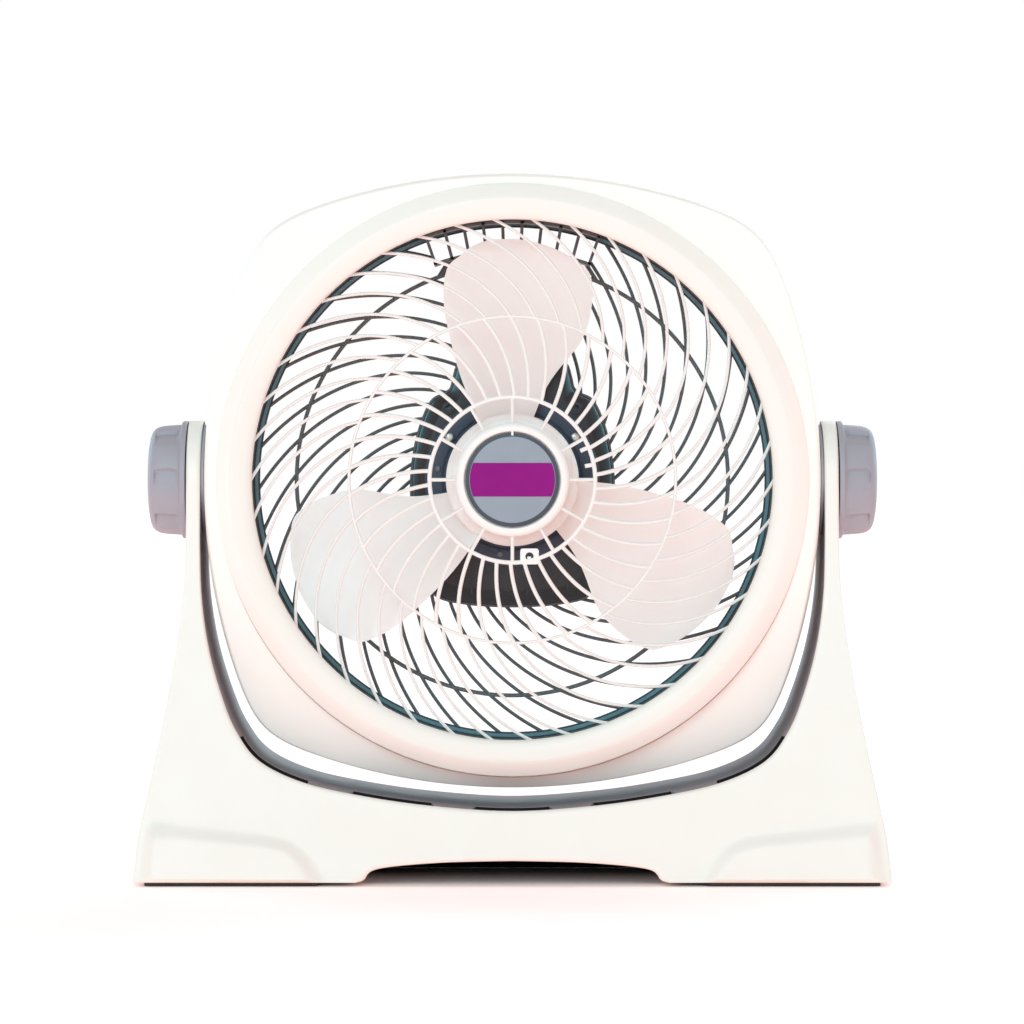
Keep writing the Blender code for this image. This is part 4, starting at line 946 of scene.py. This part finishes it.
def make_rear_cover():
    low = CENTRAL_PLATE_Y + 3.9
    back = COVER_BACK_Y
    shape = scaled_layers(((0.99, low), (1.0, low + 1), (1.0, back - 12), (0.99, back - 8), (0.97, back - 4),
                           (0.935, back - 1.2), (0.905, back - 0.2), (0.87, back)))
    cover = object_of("rear_cover", shape, [CHARCOAL])
    cover = cut(cover, scaled_layers(((0.955, low - 5), (0.955, low + 25), (0.87, low + 34))))
    for k in range(7):
        z = 30 + 9 * k
        loop = rounded([(-32, z - 2.1, 2), (32, z - 2.1, 2), (32, z + 2.1, 2), (-32, z + 2.1, 2)])
        cover = cut(cover, Shape().slab(loop, [(0, back - 25), (0, back + 5)]))
    for x, z in COVER_SCREWS:
        cover = cut(cover, Shape().pin(x, z, 4.8, 70, 110))
    piece("rear_cover_shell", cover, CHARCOAL, "head", ["rear_cover"], 35)
    for number, (x, z) in enumerate(COVER_SCREWS, 1):
        screw(f"cover_screw_{number}", x, z, 72.3, "head", tip=34)


def make_speed_knob():
    knob = Shape()
    y = COVER_BACK_Y + 0.5
    knob.lathe(rounded([(0, 86, 0), (3, 86, 0), (3, y, 0), (19.4, y, 0.5), (20, y + 1.2, 0.8), (19.6, y + 6.5, 1.5),
                        (17.5, y + 8.5, 1.5), (0, y + 8.6, 0)], closed=False), 96, (0, SWITCH_Z), closed=False)
    half = [(1.6, -19), (3.2, -17), (3.6, 0), (3.2, 17), (1.6, 19)]
    grip = [(x, SWITCH_Z + z) for x, z in [*half, *[(-x, -z) for x, z in half]]]
    knob.slab(grip, [(0, y + 5), (0, y + 13.6), (0.5, y + 14.6), (1.2, y + 15)])
    knob.block((-0.6, y + 14.6, SWITCH_Z + 7), (0.6, y + 15.1, SWITCH_Z + 17), slot=1)
    piece("speed_knob_grip", knob, [GREY, MARKING], "speed_control", ["speed_knob"], 30)


def make_dial():
    """Four positions round the speed knob, each with three dots in a row and a number."""
    back = COVER_BACK_Y
    marks = Shape()
    turns = [90 - 45 * k for k in range(4)]
    for turn in turns:
        for radius in (24, 25.2, 26.4):
            x, _, z = polar(-radius, -turn, 0)
            marks.pin(x, SWITCH_Z + z, 0.7, back - 0.2, back + 0.25, 12)
    piece("speed_dial_marks", marks, MARKING, "head", ())
    for k, turn in enumerate(turns):
        dial_number(str(k), turn, 31.5, back)


def make_cord_gland():
    profile = [(3.6, 104.1, 0), (5.4, 104.1, 0.6), (6.0, 102, 0.3), (8.8, 97.1, 1), (9, 95.0, 0.5), (6.9, 95.0, 0),
               (6.9, 91.5, 0), (8, 91.3, 0), (8, 89.1, 0), (3.6, 89.1, 0)]
    piece("cord_gland_bush", Shape().lathe(rounded(profile), 48, (0, GLAND_Z)), BLACK, "head", ["cord_gland"], 30)


def dial_number(text, angle, radius, y):
    """A raised numeral beside the speed knob, to be read from behind."""
    curve = bpy.data.curves.new("numeral", "FONT")
    curve.body = text
    curve.size = 0.0075
    curve.extrude = 0.0002
    curve.align_x, curve.align_y = "CENTER", "CENTER"
    obj = placed("numeral", curve)
    mesh = baked(obj)
    bpy.data.objects.remove(obj)
    x, z = -radius * cos(radians(angle)), SWITCH_Z + radius * sin(radians(angle))
    for vertex in mesh.vertices:
        u, v, w = vertex.co
        vertex.co = PIVOT + Vector((-u + x * 0.001, w + y * 0.001, v + z * 0.001))
    mesh.materials.clear()
    mesh.materials.append(MARKING)
    made = placed(f"dial_number_{text}", mesh)
    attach(made, "head")


# ------ floor, light and camera
# the light all round is a little warm and the large soft lights a little cool, as in a bright white studio
AMBIENT = (0.73, 0.57, 0.54, 1)
FLOOR_GLOW = (0.36, 0.27, 0.26, 1)      # how a lit white sweep looks
FLOOR_BOUNCE = (0.59, 0.23, 0.17, 1)    # and how much of it reaches the object
SUNS = [("key", (-0.22, -1, 0.4), (0.3, 0.9, 1.0), 1.2), ("rear", (0.25, 0.9, 0.45), (0.7, 0.95, 1.0), 0.5),
        ("left", (-1, 0.9, 0.4), (0.15, 0.82, 1.0), 1.0), ("right", (1, 0.9, 0.4), (0.15, 0.82, 1.0), 1.0)]
# FOOTPRINT, BEHIND and the ARCH values shape a painted shadow: the glow fades out under, beside and behind the base
# and is graded under the arch
FOOTPRINT = ((0.285, 0.315), (0.09, 0.118))     # where the glow fades out under the base, along X and Y
BEHIND = (0.12, 0.16)
ARCH_SIDE, ARCH_EDGE, UNDER_ARCH, ARCH_GLOW = (0.115, 0.14), (0.098, 0.103), (-0.04, 0.1), 0.4


def arithmetic(tree, operation, first, second=None):
    """A sum of two node outputs, or of one and a number."""
    node = tree.nodes.new("ShaderNodeMath")
    node.operation = operation
    tree.links.new(first, node.inputs[0])
    if isinstance(second, float):
        node.inputs[1].default_value = second
    elif second:
        tree.links.new(second, node.inputs[1])
    return node.outputs[0]


def make_floor():
    """A floor that glows like a lit sweep, with a painted shadow where the glow is faded out under and round the
    base.
    """
    floor_material = material("studio_floor", (0.9, 0.9, 0.9), 0.7, specular=0.1, tint=0.004, bump=0.01)
    tree = floor_material.node_tree
    shader = tree.nodes["Principled BSDF"]
    glow = mixed(tree, tree.nodes.new("ShaderNodeLightPath").outputs["Is Camera Ray"], FLOOR_BOUNCE, FLOOR_GLOW)
    tree.links.new(glow, shader.inputs["Emission Color"])
    x, y, _ = axes(tree)
    width = arithmetic(tree, "ABSOLUTE", x)
    (side_low, side_high), (front_low, front_high) = FOOTPRINT
    beside = faded(tree, width, side_low, side_high)
    behind = faded(tree, y, *BEHIND)
    ahead = arithmetic(tree, "MULTIPLY", y, -1.0)
    before = faded(tree, ahead, front_low, front_high)
    # painted shadow under the arch: the floor grows lighter towards the front and ends in a clear edge
    for socket, here, elsewhere in zip(("From Min", "From Max"), ARCH_EDGE, (front_low, front_high)):
        tree.links.new(faded(tree, width, *ARCH_SIDE, here, elsewhere), before.node.inputs[socket])
    within = faded(tree, ahead, *UNDER_ARCH)
    tree.links.new(faded(tree, width, *ARCH_SIDE, ARCH_GLOW, 0.0), within.node.inputs["To Max"])
    clear = beside
    for other in (before, within, behind):
        clear = arithmetic(tree, "MAXIMUM", clear, other)
    tree.links.new(clear, shader.inputs["Emission Strength"])
    mesh = bpy.data.meshes.new("floor")
    reach = 60.0
    mesh.from_pydata([(-reach, -reach, 0), (reach, -reach, 0), (reach, reach, 0), (-reach, reach, 0)], [],
                     [(0, 1, 2, 3)])
    mesh.materials.append(floor_material)
    floor = placed("floor", mesh)


def make_lights():
    world = bpy.data.worlds.new("studio")
    world.use_nodes = True
    tree = world.node_tree
    backdrop = tree.nodes["Background"]
    backdrop.inputs["Color"].default_value = (1, 1, 1, 1)
    soft = tree.nodes.new("ShaderNodeBackground")
    soft.inputs["Color"].default_value = AMBIENT
    mix = tree.nodes.new("ShaderNodeMixShader")
    tree.links.new(tree.nodes.new("ShaderNodeLightPath").outputs["Is Camera Ray"], mix.inputs["Fac"])
    tree.links.new(soft.outputs[0], mix.inputs[1])
    tree.links.new(backdrop.outputs[0], mix.inputs[2])
    tree.links.new(mix.outputs[0], tree.nodes["World Output"].inputs["Surface"])
    bpy.context.scene.world = world
    for name, towards, colour, power in SUNS:
        data = bpy.data.lights.new(name, "SUN")
        data.angle = radians(32)
        data.color = colour
        data.energy = power
        light = placed(name, data)
        light.rotation_mode = "QUATERNION"
        light.rotation_quaternion = Vector(towards).to_track_quat("Z", "Y")
    bpy.context.scene.view_settings.view_transform = "Standard"


VIEW_WIDTH = 0.8428             # what the frame spans at the head's front plate
LENS, SENSOR = 150.0, 36.0


def make_camera():
    data = bpy.data.cameras.new("camera")
    data.lens, data.sensor_width = LENS, SENSOR
    data.shift_y = -0.0315
    data.clip_end = 200
    camera = placed("camera", data)
    distance = VIEW_WIDTH * LENS / SENSOR
    camera.location = (-0.0003, PIVOT.y + PLATE_Y[0] * 0.001 - distance, PIVOT.z)
    camera.rotation_euler = (radians(90), 0, 0)
    bpy.context.scene.camera = camera


make_floor()
make_lights()
make_camera()
make_base()
make_pivots()
make_housing()
make_front_grille()
make_badge()
make_rear_grille()
make_motor()
make_fan()
make_rear_cover()
make_speed_knob()
make_dial()
make_cord_gland()
for surface, nodes in ((STEEL, "pivot_nut_left pivot_nut_right motor_rear_bell"), (IRON, "stator_core rotor_core"),
                       (TURNED_STEEL, "pivot_stud_left pivot_stud_right motor_shaft drive_pin"),
                       (COPPER, "winding_front winding_rear"), (BRONZE, "bushing_front bushing_rear"),
                       (BLACK, "speed_switch"), (GREY, "capacitor")):
    repaint(surface, *nodes.split())
